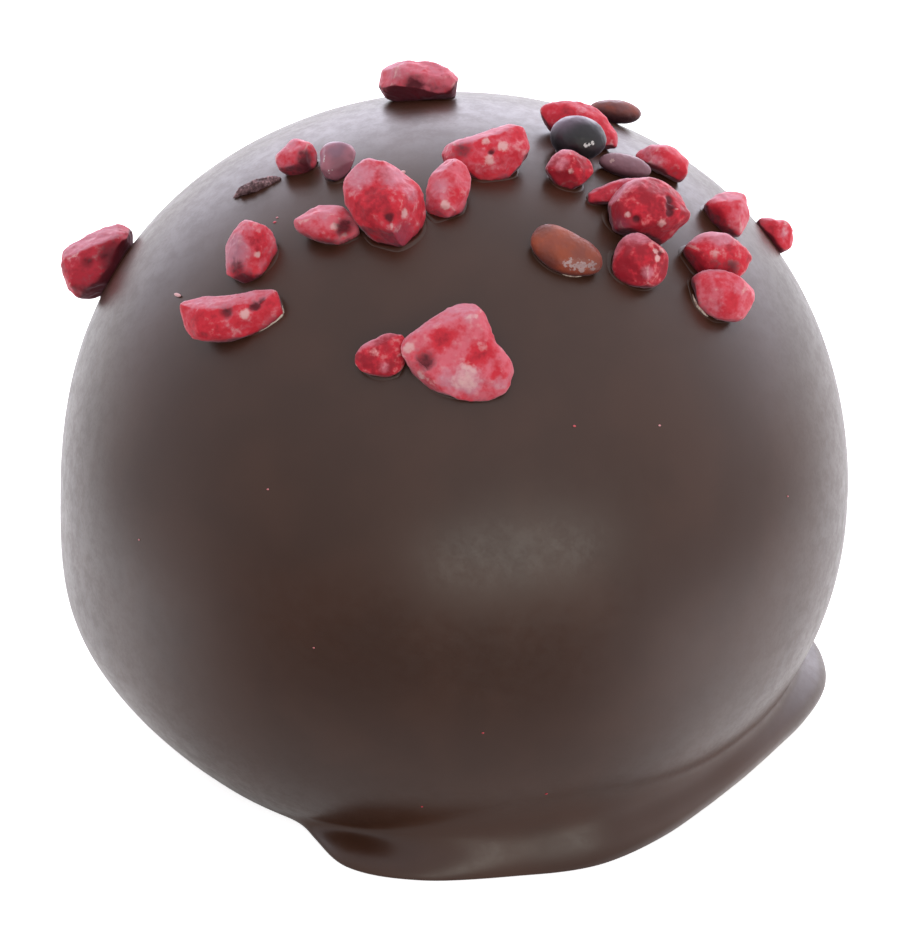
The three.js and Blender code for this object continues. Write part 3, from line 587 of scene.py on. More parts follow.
def ring_mean(values: np.ndarray, corners: np.ndarray) -> np.ndarray:
    """The mean of the neighbours of each point of a closed mesh of triangles.

    Args:
        values: One value or one row of values for each point.
        corners: The corners of the triangles.

    Returns:
        The means, in the same form.
    """
    count = np.bincount(corners.ravel(), minlength=len(values)) * 2
    rows = values.reshape(len(values), -1)
    means = np.zeros(rows.shape)
    for here in range(3):
        for other in (1, 2):
            ends = corners[:, (here + other) % 3]
            for column in range(rows.shape[1]):
                means[:, column] += np.bincount(corners[:, here], rows[ends, column], len(values))
    return (means / count[:, None]).reshape(values.shape)


def add_mesh(name: str, points: np.ndarray, faces: np.ndarray | list, fields: dict[str, np.ndarray],
             material: bpy.types.Material) -> bpy.types.Object:
    """Makes a smooth mesh object from points in millimetres.

    Args:
        name: The piece's name.
        points: Its points.
        faces: The corners of each face.
        fields: Values of each point that the material reads, by name.
        material: The material that it gets.

    Returns:
        The object, at the origin.
    """
    mesh = bpy.data.meshes.new(name)
    mesh.from_pydata(as_metres(points), [], faces if isinstance(faces, list) else faces.tolist())
    for field_name, values in fields.items():
        layer = mesh.attributes.new(field_name, "FLOAT", "POINT")
        layer.data.foreach_set("value", np.asarray(values, np.float32))
    mesh.shade_smooth()
    mesh.materials.append(material)
    mesh.validate()
    piece = bpy.data.objects.new(name, mesh)
    bpy.context.scene.collection.objects.link(piece)
    return piece


class Sheet:
    """A node tree that is being written, with short ways to add nodes and join them."""

    def __init__(self, tree: bpy.types.NodeTree) -> None:
        """Starts on an empty tree."""
        self.tree = tree
        tree.nodes.clear()

    def feed(self, socket: bpy.types.NodeSocket, value: object) -> None:
        """Joins a socket to another, or sets its own value.

        Args:
            socket: The socket to feed.
            value: Another socket, or a value.
        """
        if isinstance(value, bpy.types.NodeSocket):
            self.tree.links.new(value, socket)
        else:
            socket.default_value = value

    def add(self, kind: str, inputs: dict | None = None, **settings: object) -> bpy.types.Node:
        """Adds a node.

        Args:
            kind: The node's type.
            inputs: Sockets or values for its inputs, by name or number.
            settings: Values of its own properties.

        Returns:
            The node.
        """
        node = self.tree.nodes.new(kind)
        for name, value in settings.items():
            setattr(node, name, value)
        for key, value in (inputs or {}).items():
            self.feed(node.inputs[key], value)
        return node

    def maths(self, operation: str, first: object, second: object = 0.0) -> bpy.types.NodeSocket:
        """A sum on two values."""
        return self.add("ShaderNodeMath", {0: first, 1: second}, operation=operation).outputs[0]

    def spread(self, value: object, low: float, high: float, to_low: float = 0.0,
               to_high: float = 1.0) -> bpy.types.NodeSocket:
        """A value moved smoothly from one range to another and kept inside it.

        Args:
            value: The value.
            low: The start of its range.
            high: The end of its range.
            to_low: The start of the new range.
            to_high: The end of the new range.

        Returns:
            The moved value.
        """
        inputs = {"Value": value, "From Min": low, "From Max": high, "To Min": to_low, "To Max": to_high}
        node = self.add("ShaderNodeMapRange", inputs, interpolation_type="SMOOTHSTEP")
        return node.outputs[0]

    def blend(self, share: object, first: object, second: object) -> bpy.types.NodeSocket:
        """A colour between two colours."""
        node = self.add("ShaderNodeMix", {0: share, 6: first, 7: second}, data_type="RGBA")
        return node.outputs[2]

    def noise(self, vector: object, size: float, detail: float = 2.0,
              harshness: float = 0.5) -> bpy.types.NodeSocket:
        """Soft noise with patches of about a size, in millimetres."""
        inputs = {"Vector": vector, "Scale": 1 / (size * MM), "Detail": detail, "Roughness": harshness}
        return self.add("ShaderNodeTexNoise", inputs).outputs[0]

    def field(self, name: str) -> bpy.types.NodeSocket:
        """A value that the mesh holds at each point."""
        return self.add("ShaderNodeAttribute", attribute_name=name).outputs["Fac"]


Colour = tuple[float, float, float]
Span = tuple[float, float]


def paint(colour: Colour) -> tuple[float, float, float, float]:
    """A colour as a socket takes it."""
    return (*colour, 1.0)


class MottleGroup:
    """The soft mottling of freeze-dried fruit, which the flesh, skins, seeds, stalk and juice share."""

    NAME = "soft_mottle"
    INPUTS = (("Vector", "NodeSocketVector", None), ("Patch Scale", "NodeSocketFloat", 2500.0),
              ("Grain Scale", "NodeSocketFloat", 8000.0))
    OUTPUTS = ("Mottle", "Grain", "Height")
    DETAIL = 2.0
    HARSHNESS = 0.55
    GRAIN_RISE = 0.6
    PATCH_RANGE = (0.33, 0.67)
    GRAIN_RANGE = (0.3, 0.7)

    @classmethod
    def tree(cls) -> bpy.types.NodeTree:
        """The group's tree, built once.

        Returns:
            A tree that puts out soft patches, a finer grain, and a height for a bump.
        """
        made = bpy.data.node_groups.get(cls.NAME)
        if made:
            return made
        made = bpy.data.node_groups.new(cls.NAME, "ShaderNodeTree")
        for name, kind, value in cls.INPUTS:
            socket = made.interface.new_socket(name, in_out="INPUT", socket_type=kind)
            if value is not None:
                socket.default_value = value
        for name in cls.OUTPUTS:
            made.interface.new_socket(name, in_out="OUTPUT", socket_type="NodeSocketFloat")
        sheet = Sheet(made)
        given = sheet.add("NodeGroupInput").outputs
        patches, grains = (
            sheet.add("ShaderNodeTexNoise", {"Vector": given["Vector"], "Scale": given[scale],
                                             "Detail": cls.DETAIL, "Roughness": cls.HARSHNESS}).outputs[0]
            for scale in ("Patch Scale", "Grain Scale"))
        height = sheet.maths("ADD", patches, sheet.maths("MULTIPLY", grains, cls.GRAIN_RISE))
        sheet.add("NodeGroupOutput", {"Mottle": sheet.spread(patches, *cls.PATCH_RANGE),
                                      "Grain": sheet.spread(grains, *cls.GRAIN_RANGE), "Height": height})
        return made


@dataclass(frozen=True)
class Finish:
    """What every finish of the praline has in common."""

    name: str
    roughness: float
    roughness_span: Span = (-0.1, 0.1)
    patch: float = 0.5
    grain: float = 0.12
    grain_height: float = 0.008
    velvet: float = 0.0
    velvet_spread: float = 0.4
    velvet_tint: Colour = (1.0, 1.0, 1.0)

    def start(self) -> tuple[bpy.types.Material, Sheet, bpy.types.Node, bpy.types.NodeSocket]:
        """Makes the material with its shader and its velvety sheen.

        Returns:
            The material, its sheet, its shader and the object's own coordinates.
        """
        material = bpy.data.materials.new(self.name)
        material.use_nodes = True
        sheet = Sheet(material.node_tree)
        shader = sheet.add("ShaderNodeBsdfPrincipled", {
            "Roughness": self.roughness, "Sheen Weight": self.velvet,
            "Sheen Roughness": self.velvet_spread, "Sheen Tint": paint(self.velvet_tint)})
        sheet.add("ShaderNodeOutputMaterial", {"Surface": shader.outputs[0]})
        place = sheet.add("ShaderNodeTexCoord").outputs["Object"]
        return material, sheet, shader, place

    def mottle(self, sheet: Sheet, place: bpy.types.NodeSocket) -> bpy.types.bpy_prop_collection:
        """Places the mottle group at this finish's sizes.

        Args:
            sheet: The material's sheet.
            place: The coordinates that it reads.

        Returns:
            The group's outputs.
        """
        node = sheet.add("ShaderNodeGroup", node_tree=MottleGroup.tree())
        sheet.feed(node.inputs["Vector"], place)
        sheet.feed(node.inputs["Patch Scale"], 1 / (self.patch * MM))
        sheet.feed(node.inputs["Grain Scale"], 1 / (self.grain * MM))
        return node.outputs

    def shift(self, sheet: Sheet, value: object, noise: object, amount: float) -> bpy.types.NodeSocket:
        """A value pushed up and down by a noise from 0 to 1."""
        swing = sheet.maths("MULTIPLY", sheet.maths("SUBTRACT", noise, 0.5), amount)
        return sheet.maths("ADD", value, swing)

    def mixed(self, sheet: Sheet, first: object, second: object, share: float) -> bpy.types.NodeSocket:
        """Two noises added, with a share for the second."""
        return sheet.maths("ADD", sheet.maths("MULTIPLY", first, 1 - share),
                           sheet.maths("MULTIPLY", second, share))

    def ragged(self, sheet: Sheet, mask: object, noise: object, raggedness: float) -> bpy.types.NodeSocket:
        """A mask whose soft edge is broken up by a noise.

        Args:
            sheet: The material's sheet.
            mask: The mask, from 0 to 1.
            noise: The noise, from 0 to 1.
            raggedness: How far the noise shifts the edge.

        Returns:
            The mask with a ragged edge.
        """
        return sheet.spread(self.shift(sheet, mask, noise, raggedness), raggedness / 2, 1 - raggedness / 4)

    def vary_roughness(self, sheet: Sheet, shader: bpy.types.Node, noise: object) -> None:
        """Lets the shader's roughness follow a noise from 0 to 1."""
        low, high = (self.roughness + change for change in self.roughness_span)
        sheet.feed(shader.inputs["Roughness"], sheet.spread(noise, 0.0, 1.0, low, high))

    def raise_bump(self, sheet: Sheet, shader: bpy.types.Node, height: object, distance: float) -> None:
        """Gives the shader a bump of a height in millimetres."""
        bump = sheet.add("ShaderNodeBump", {"Strength": 1.0, "Distance": distance * MM, "Height": height})
        sheet.feed(shader.inputs["Normal"], bump.outputs[0])


@dataclass(frozen=True)
class ChocolateFinish(Finish):
    """Tempered dark chocolate: a satin sheen that breaks up over a very fine grain."""

    name: str = "dark_chocolate"
    roughness: float = 0.36
    dark: Colour = (0.042, 0.0150, 0.0072)
    light: Colour = (0.051, 0.0190, 0.0097)
    sheen: Span = (0.3, 0.4)
    cloud: float = 3.5
    blotch: float = 0.55
    grain_height: float = 0.0003
    grain_share: float = 0.4
    ripple: float = 1.6
    ripple_height: float = 0.0008
    middle_range: Span = (0.35, 0.65)

    def material(self) -> bpy.types.Material:
        """The chocolate's material.

        Returns:
            A material whose colour, sheen and grain change over the surface.
        """
        material, sheet, shader, place = self.start()
        cloudy = sheet.noise(place, self.cloud, 3.0)
        blotches = sheet.noise(place, self.blotch, 3.0, 0.6)
        grains = sheet.noise(place, self.grain, 2.0, 0.6)
        ripples = sheet.noise(place, self.ripple, 2.0)
        colour = sheet.blend(sheet.spread(cloudy, *self.middle_range), paint(self.dark), paint(self.light))
        sheet.feed(shader.inputs["Base Color"], colour)
        uneven = self.mixed(sheet, blotches, grains, self.grain_share)
        sheet.feed(shader.inputs["Roughness"], sheet.spread(uneven, *self.middle_range, *self.sheen))
        slow = sheet.add("ShaderNodeBump", {"Strength": 1.0, "Distance": self.ripple_height * MM,
                                            "Height": ripples})
        fine = sheet.add("ShaderNodeBump", {"Strength": 1.0, "Distance": self.grain_height * MM,
                                            "Height": grains, "Normal": slow.outputs[0]})
        sheet.feed(shader.inputs["Normal"], fine.outputs[0])
        return material


@dataclass(frozen=True)
class FleshFinish(Finish):
    """Freeze-dried raspberry: dry and red, pink where dusted, pale on its edges, with painted light on faces
    turned up and back, painted highlights for glints, and painted shade in pits, underneath and where it
    meets the chocolate.
    """

    name: str = "raspberry_flesh"
    roughness: float = 0.62
    roughness_span: Span = (-0.14, 0.14)
    grain: float = 0.15
    grain_height: float = 0.016
    velvet: float = 0.25
    velvet_spread: float = 0.45
    velvet_tint: Colour = (1.0, 0.72, 0.82)
    # Painted shade: the colour of pits, holes, the underside and where the piece meets the chocolate.
    deep: Colour = (0.085, 0.005, 0.011)
    crimson: Colour = (0.33, 0.008, 0.02)
    red: Colour = (0.59, 0.021, 0.039)
    rose: Colour = (0.66, 0.13, 0.17)
    # Pink of dust, also laid as painted light on faces turned up and back.
    dust_and_painted_light: Colour = (0.60, 0.22, 0.28)
    plum: Colour = (0.15, 0.05, 0.085)
    # Pale of its edges and spots, also used for painted highlights.
    pale: Colour = (0.72, 0.42, 0.41)
    gloss: float = 0.25
    patch_swing: float = 0.5
    grain_swing: float = 0.25
    grain_share: float = 0.4
    red_range: Span = (-0.3, 0.3)
    rose_range: Span = (0.25, 1.0)
    plum_range: Span = (-1.0, 0.8)
    dust_and_painted_light_raggedness: float = 0.35
    fold_share: float = 0.3
    pale_raggedness: float = 0.55
    pale_strength: float = 0.85
    deep_raggedness: float = 0.4
    deep_strength: float = 0.95
    glow: float = 0.1
    glow_reach: Colour = (0.0008, 0.0002, 0.0002)

    def material(self) -> bpy.types.Material:
        """The flesh's material.

        Returns:
            A material led by the values that the meshes hold.
        """
        material, sheet, shader, place = self.start()
        fruit = self.mottle(sheet, place)
        tone = self.shift(sheet, sheet.field("blush"), fruit["Mottle"], self.patch_swing)
        tone = self.shift(sheet, tone, fruit["Grain"], self.grain_swing)
        colour = sheet.blend(sheet.spread(tone, *self.red_range), paint(self.crimson), paint(self.red))
        colour = sheet.blend(sheet.spread(tone, *self.rose_range), colour, paint(self.rose))
        crumbly = self.mixed(sheet, fruit["Mottle"], fruit["Grain"], self.grain_share)
        # Dust, with painted light on faces turned up and back.
        dusted_and_lit = self.ragged(sheet, sheet.field("dust_and_painted_light"), crumbly, self.dust_and_painted_light_raggedness)
        colour = sheet.blend(dusted_and_lit, colour, paint(self.dust_and_painted_light))
        patchy = sheet.spread(fruit["Mottle"], *self.plum_range)
        colour = sheet.blend(sheet.maths("MULTIPLY", sheet.field("plum"), patchy), colour, paint(self.plum))
        # Pale edges, folds and spots, with painted highlights among the spots.
        folds = sheet.maths("MULTIPLY", sheet.field("fold"), self.fold_share)
        pale_and_highlight = sheet.maths("MAXIMUM", sheet.field("pale"), folds)
        pale_and_highlight = self.ragged(sheet, pale_and_highlight, crumbly, self.pale_raggedness)
        colour = sheet.blend(sheet.maths("MULTIPLY", pale_and_highlight, self.pale_strength), colour, paint(self.pale))
        # Painted shade in pits and holes, underneath, and where the piece meets the chocolate.
        sunk = self.ragged(sheet, sheet.field("deep"), crumbly, self.deep_raggedness)
        colour = sheet.blend(sheet.maths("MULTIPLY", sunk, self.deep_strength), colour, paint(self.deep))
        sheet.feed(shader.inputs["Base Color"], colour)
        self.vary_roughness(sheet, shader, fruit["Mottle"])
        self.raise_bump(sheet, shader, fruit["Height"], self.grain_height)
        sheet.feed(shader.inputs["Specular IOR Level"], self.gloss)
        sheet.feed(shader.inputs["Subsurface Weight"], self.glow)
        sheet.feed(shader.inputs["Subsurface Radius"], self.glow_reach)
        sheet.feed(shader.inputs["Subsurface Scale"], 1.0)
        return material


@dataclass(frozen=True)
class SkinFinish(Finish):
    """A dried skin: blackish plum with a waxy sheen, going to dull mauve where it is thin, where it is dusted
    and where painted light falls on faces turned up and back; with painted shade below and painted highlights
    for its glints.
    """

    name: str = "raspberry_skin"
    roughness: float = 0.4
    velvet: float = 0.13
    velvet_tint: Colour = (0.85, 0.78, 1.0)
    mauve: Colour = (0.40, 0.135, 0.175)
    plum: Colour = (0.022, 0.017, 0.023)
    # Painted shade: pits, underside and where the skin meets the chocolate.
    deep: Colour = (0.008, 0.008, 0.009)
    dust_and_painted_light: Colour = (0.26, 0.17, 0.24)
    # Painted highlights: the glints on the dark dome.
    pale: Colour = (0.62, 0.62, 0.60)
    patch_swing: float = 0.35
    plum_range: Span = (0.0, 0.9)
    dust_and_painted_light_range: Span = (-1.0, 0.8)
    painted_glint_raggedness: float = 0.9

    def material(self) -> bpy.types.Material:
        """The skin's material.

        Returns:
            A material led by the values that the meshes hold.
        """
        material, sheet, shader, place = self.start()
        skin = self.mottle(sheet, place)
        plum = self.shift(sheet, sheet.field("plum"), skin["Mottle"], self.patch_swing)
        colour = sheet.blend(sheet.spread(plum, *self.plum_range), paint(self.mauve), paint(self.plum))
        patchy = sheet.spread(skin["Mottle"], *self.dust_and_painted_light_range)
        colour = sheet.blend(sheet.maths("MULTIPLY", sheet.field("dust_and_painted_light"), patchy), colour, paint(self.dust_and_painted_light))
        colour = sheet.blend(sheet.field("deep"), colour, paint(self.deep))
        # Small pale spots: painted highlights, the glints on the dark dome.
        spots = self.ragged(sheet, sheet.field("pale"), skin["Grain"], self.painted_glint_raggedness)
        sheet.feed(shader.inputs["Base Color"], sheet.blend(spots, colour, paint(self.pale)))
        self.vary_roughness(sheet, shader, skin["Mottle"])
        self.raise_bump(sheet, shader, skin["Height"], self.grain_height)
        return material


@dataclass(frozen=True)
class SeedFinish(Finish):
    """A raspberry seed: an amber to plum coat with a fine net of ridges and crusts of dried juice, paler with
    painted light on faces turned up and back, and with painted shade round its foot.
    """

    name: str = "raspberry_seed"
    roughness: float = 0.48
    roughness_span: Span = (-0.1, 0.14)
    grain: float = 0.1
    velvet: float = 0.1
    velvet_tint: Colour = (0.9, 0.8, 1.0)
    amber: Colour = (0.33, 0.06, 0.022)
    umber: Colour = (0.16, 0.04, 0.04)
    plum: Colour = (0.26, 0.13, 0.16)
    # Painted shade round the seed's foot and where it meets the chocolate.
    deep: Colour = (0.05, 0.014, 0.017)
    crust: Colour = (0.44, 0.28, 0.27)
    patch_swing: float = 0.45
    dust_and_painted_light_strength: float = 0.15
    crust_raggedness: float = 0.9
    net: float = 0.16
    net_height: float = 0.012

    def material(self) -> bpy.types.Material:
        """The seed's material.

        Returns:
            A material led by the values that the meshes hold.
        """
        material, sheet, shader, place = self.start()
        seed = self.mottle(sheet, place)
        amber = self.shift(sheet, sheet.field("blush"), seed["Mottle"], self.patch_swing)
        colour = sheet.blend(sheet.spread(amber, 0.0, 1.0), paint(self.umber), paint(self.amber))
        colour = sheet.blend(sheet.field("plum"), colour, paint(self.plum))
        # Crust colour laid as dust and as painted light on faces turned up and back.
        dusted_and_lit = sheet.maths("MULTIPLY", sheet.field("dust_and_painted_light"), self.dust_and_painted_light_strength)
        colour = sheet.blend(dusted_and_lit, colour, paint(self.crust))
        crusted = self.ragged(sheet, sheet.field("pale"), seed["Grain"], self.crust_raggedness)
        colour = sheet.blend(crusted, colour, paint(self.crust))
        sheet.feed(shader.inputs["Base Color"], sheet.blend(sheet.field("deep"), colour, paint(self.deep)))
        self.vary_roughness(sheet, shader, seed["Mottle"])
        cells = sheet.add("ShaderNodeTexVoronoi", {"Vector": place, "Scale": 1 / (self.net * MM)}).outputs[0]
        self.raise_bump(sheet, shader, sheet.maths("ADD", cells, seed["Height"]), self.net_height)
        return material


@dataclass(frozen=True)
class StalkFinish(Finish):
    """A dry brown shred of stalk with paler dots."""

    name: str = "dry_stalk"
    roughness: float = 0.8
    roughness_span: Span = (-0.1, 0.15)
    patch: float = 0.2
    grain: float = 0.09
    grain_height: float = 0.02
    dark: Colour = (0.085, 0.042, 0.046)
    light: Colour = (0.42, 0.25, 0.26)

    def material(self) -> bpy.types.Material:
        """The stalk's material.

        Returns:
            A material with dark fibres and paler dots.
        """
        material, sheet, shader, place = self.start()
        stalk = self.mottle(sheet, place)
        dots = sheet.maths("MULTIPLY", stalk["Mottle"], stalk["Grain"])
        sheet.feed(shader.inputs["Base Color"], sheet.blend(dots, paint(self.dark), paint(self.light)))
        self.vary_roughness(sheet, shader, stalk["Grain"])
        self.raise_bump(sheet, shader, stalk["Height"], self.grain_height)
        return material


@dataclass(frozen=True)
class JuiceFinish(Finish):
    """A bead of dried juice: cloudy and glossy, and pale, which partly paints the highlight that glints along
    a topping's foot.
    """

    name: str = "dried_juice"
    roughness: float = 0.3
    patch: float = 0.3
    grain: float = 0.09
    grain_height: float = 0.006
    # Pale cloudy colour, partly a painted highlight for the glints along the toppings' feet.
    cloudy: Colour = (0.60, 0.50, 0.42)
    clear: Colour = (0.22, 0.13, 0.10)
    grain_swing: float = 0.4

    def material(self) -> bpy.types.Material:
        """The juice's material.

        Returns:
            A material that is cloudy in places.
        """
        material, sheet, shader, place = self.start()
        juice = self.mottle(sheet, place)
        cloud = self.shift(sheet, juice["Mottle"], juice["Grain"], self.grain_swing)
        sheet.feed(shader.inputs["Base Color"], sheet.blend(cloud, paint(self.clear), paint(self.cloudy)))
        self.raise_bump(sheet, shader, juice["Height"], self.grain_height)
        return material


class ShapeTree:
    """A tree of geometry nodes with named inputs, which is run on a piece and leaves a plain mesh."""

    def __init__(self, name: str, numbers: dict[str, float]) -> None:
        """Starts a tree.

        Args:
            name: The tree's name.
            numbers: Its inputs with their values.
        """
        self.tree = bpy.data.node_groups.new(name, "GeometryNodeTree")
        self.sheet = Sheet(self.tree)
        self.tree.interface.new_socket("Geometry", in_out="INPUT", socket_type="NodeSocketGeometry")
        self.numbers: dict[str, float] = {}
        for label, value in numbers.items():
            kind = "NodeSocketInt" if isinstance(value, int) else "NodeSocketFloat"
            socket = self.tree.interface.new_socket(label, in_out="INPUT", socket_type=kind)
            self.numbers[socket.identifier] = value
        self.tree.interface.new_socket("Geometry", in_out="OUTPUT", socket_type="NodeSocketGeometry")
        self.given = self.sheet.add("NodeGroupInput").outputs

    def noise(self, size: bpy.types.NodeSocket, shift: float = 0.0) -> bpy.types.NodeSocket:
        """Noise from -0.5 to 0.5 over the piece.

        Args:
            size: The size of its patches, in metres.
            shift: How far the pattern is moved, so that two noises differ.

        Returns:
            The noise.
        """
        place = self.sheet.add("GeometryNodeInputPosition").outputs[0]
        moved = self.sheet.add("ShaderNodeVectorMath", {0: place, 1: (shift, shift, shift)}, operation="ADD")
        scale = self.sheet.maths("DIVIDE", 1.0, size)
        inputs = {"Vector": moved.outputs[0], "Scale": scale, "Detail": 2.0}
        return self.sheet.maths("SUBTRACT", self.sheet.add("ShaderNodeTexNoise", inputs).outputs[0], 0.5)

    def end(self, geometry: bpy.types.NodeSocket, material: bpy.types.Material) -> None:
        """Ends the tree in a plain mesh with its material.

        Args:
            geometry: What the tree has made.
            material: The material that it gets.
        """
        realised = self.sheet.add("GeometryNodeRealizeInstances", {"Geometry": geometry}).outputs[0]
        dressed = self.sheet.add("GeometryNodeSetMaterial", {"Geometry": realised, "Material": material})
        self.sheet.add("NodeGroupOutput", {"Geometry": dressed.outputs[0]})

    def run(self, piece: bpy.types.Object) -> None:
        """Runs the tree on a piece and keeps the result as its mesh.

        Args:
            piece: The piece whose mesh is worked on and replaced.
        """
        modifier = piece.modifiers.new(self.tree.name, "NODES")
        modifier.node_group = self.tree
        for identifier, value in self.numbers.items():
            modifier[identifier] = value
        graph = bpy.context.evaluated_depsgraph_get()
        made = bpy.data.meshes.new_from_object(piece.evaluated_get(graph), preserve_all_data_layers=True,
                                               depsgraph=graph)
        made.name = piece.name
        piece.modifiers.remove(modifier)
        piece.data = made


@dataclass
class ReliefTree:
    """Relief that a tree of geometry nodes raises along the normals of a piece: lumps, folds and grain."""

    name: str
    lump_size: float
    lump_height: float
    fold_size: float
    fold_height: float
    grain_size: float
    grain_height: float
    fold_sharpness: float = 7.0
    grain_shift: float = 0.4
    fold_shift: float = 0.9

    def run(self, piece: bpy.types.Object, material: bpy.types.Material) -> None:
        """Raises the relief, and keeps where its folds are as the field "fold".

        Args:
            piece: The piece to work on.
            material: The material that its mesh ends with.
        """
        shape = ShapeTree(self.name, {
            "Lump Size": self.lump_size * MM, "Lump Height": self.lump_height * MM,
            "Fold Size": self.fold_size * MM, "Fold Height": self.fold_height * MM,
            "Grain Size": self.grain_size * MM, "Grain Height": self.grain_height * MM,
            "Fold Sharpness": self.fold_sharpness})
        sheet, given = shape.sheet, shape.given
        lumps = sheet.maths("MULTIPLY", shape.noise(given["Lump Size"]), given["Lump Height"])
        grain = shape.noise(given["Grain Size"], self.grain_shift)
        grain = sheet.maths("MULTIPLY", grain, given["Grain Height"])
        crease = sheet.maths("ABSOLUTE", shape.noise(given["Fold Size"], self.fold_shift))
        fold = sheet.maths("SUBTRACT", 1.0, sheet.maths("MULTIPLY", crease, given["Fold Sharpness"]))
        fold = sheet.maths("MAXIMUM", fold, 0.0)
        raised = sheet.maths("MULTIPLY", sheet.maths("ADD", lumps, grain), 2.0)
        raised = sheet.maths("ADD", raised, sheet.maths("MULTIPLY", fold, given["Fold Height"]))
        normal = sheet.add("GeometryNodeInputNormal").outputs[0]
        offset = sheet.add("ShaderNodeVectorMath", {0: normal, "Scale": raised}, operation="SCALE")
        kept = sheet.add("GeometryNodeStoreNamedAttribute", {
            "Geometry": given["Geometry"], "Name": "fold", "Value": fold}, data_type="FLOAT", domain="POINT")
        moved = sheet.add("GeometryNodeSetPosition", {"Geometry": kept.outputs[0],
                                                      "Offset": offset.outputs[0]})
        shape.end(moved.outputs[0], material)
        shape.run(piece)


@dataclass
class ChocolateShell:
    """The ball and its foot as one skin, with the lips that drew up round each topping."""

    form: ChocolateForm
    finish: ChocolateFinish = field(default_factory=ChocolateFinish)
    columns: int = 400
    row_bands: tuple[tuple[float, int], ...] = ((80, 130), (83.5, 16), (86, 30), (90, 24))
    base_rings: int = 12
    base_hollow: float = 0.08
    base_slope_rings: int = 3
    lip_columns: int = 72
    lip_height: float = 0.022
    lip_width: float = 0.13
    lip_root: float = 0.1
    lip_seed: int = 17
    # Stations across a lip: how far out in widths, and how high in heights, or in roots below 0.
    lip_profile: tuple[tuple[float, float], ...] = (
        (-1.2, 1.1), (-0.2, 0.8), (0.2, 0.42), (0.6, 0.12), (1, -0.3), (0.6, -0.9), (-1, -0.9))
    lip_waves: tuple[int, ...] = (1, 2, 3, 5)
    lip_wave_size: Span = (0.1, 0.35)
    lip_least: Span = (0.15, 0.3)
    relief: ReliefTree = field(default_factory=lambda: ReliefTree(
        "shell_ripple", lump_size=5.0, lump_height=0.025, fold_size=9.0, fold_height=0.0, grain_size=1.6,
        grain_height=0.0015))

    def build(self, toppings: "Toppings") -> list[bpy.types.Object]:
        """Builds the chocolate.

        Args:
            toppings: The toppings that stand in it.

        Returns:
            The shell and its lips.
        """
        material = self.finish.material()
        shell = self.skin(material)
        self.relief.run(shell, material)
        return [shell, self.lips(toppings, material)]

    def skin(self, material: bpy.types.Material) -> bpy.types.Object:
        """The closed skin of ball, foot and underside.

        Args:
            material: The chocolate's material.

        Returns:
            The shell.
        """
        tilts, start = [], 0.0
        for to, rows in self.row_bands:
            tilts += [start + (to - start) * row / rows for row in range(1, rows + 1)]
            start = to
        around = np.arange(self.columns) * 360 / self.columns
        rings = self.form.surface(around[None, :], np.array(tilts)[:, None], 0.0)
        rings[-1, :, 2] = 0.0
        top = self.form.surface(np.zeros(1), np.zeros(1), 0.0)
        under = []
        for ring in range(1, self.base_rings):
            share = 1 - ring / self.base_rings
            flat = rings[-1] * share
            flat[:, 2] = self.base_hollow * min(1.0, ring / self.base_slope_rings)
            under.append(flat)
        grid = np.concatenate([rings, np.array(under)])
        count = len(grid)
        points = np.concatenate([top, grid.reshape(-1, 3), [[0.0, 0.0, self.base_hollow]]])
        row = 1 + np.arange(count - 1)[:, None] * self.columns
        column = np.arange(self.columns)[None, :]
        ahead = (column + 1) % self.columns
        quads = np.stack([row + column, row + self.columns + column, row + self.columns + ahead,
                          row + ahead], -1).reshape(-1, 4).tolist()
        last = 1 + (count - 1) * self.columns
        bottom = len(points) - 1
        caps = [[0, 1 + c, 1 + (c + 1) % self.columns] for c in range(self.columns)]
        caps += [[last + c, bottom, last + (c + 1) % self.columns] for c in range(self.columns)]
        return add_mesh("chocolate_shell", points, quads + caps, {}, material)

    def lips(self, toppings: "Toppings", material: bpy.types.Material) -> bpy.types.Object:
        """The thin lips of chocolate that drew up round the foot of each topping.

        Args:
            toppings: The toppings that stand in the chocolate.
            material: The chocolate's material.

        Returns:
            All the lips as one piece.
        """
        headings = np.arange(self.lip_columns) * 360 / self.lip_columns
        draw = Draws(self.lip_seed)
        points, faces = [], []
        for _, placing, line in toppings.contact_lines(headings):
            waves = [(draw.between(*self.lip_wave_size), draw.even() * 360, turns)
                     for turns in self.lip_waves]
            uneven = 1 + sum(size * np.cos(np.radians(turns * headings + phase))
                             for size, phase, turns in waves)
            height = self.lip_height * np.maximum(uneven, self.lip_least[0])
            width = self.lip_width * np.sqrt(np.maximum(uneven, self.lip_least[1]))
            rows = [placing.over(self.form, headings, line + across * width,
                                 up * height if up > 0 else up * np.full_like(height, self.lip_root))
                    for across, up in self.lip_profile]
            base = len(points) * self.lip_columns * len(rows)
            faces += ring_faces(base, self.lip_columns, len(rows))
            points.append(np.stack(rows, 1).reshape(-1, 3))
        return add_mesh("chocolate_lips", np.concatenate(points), faces, {}, material)


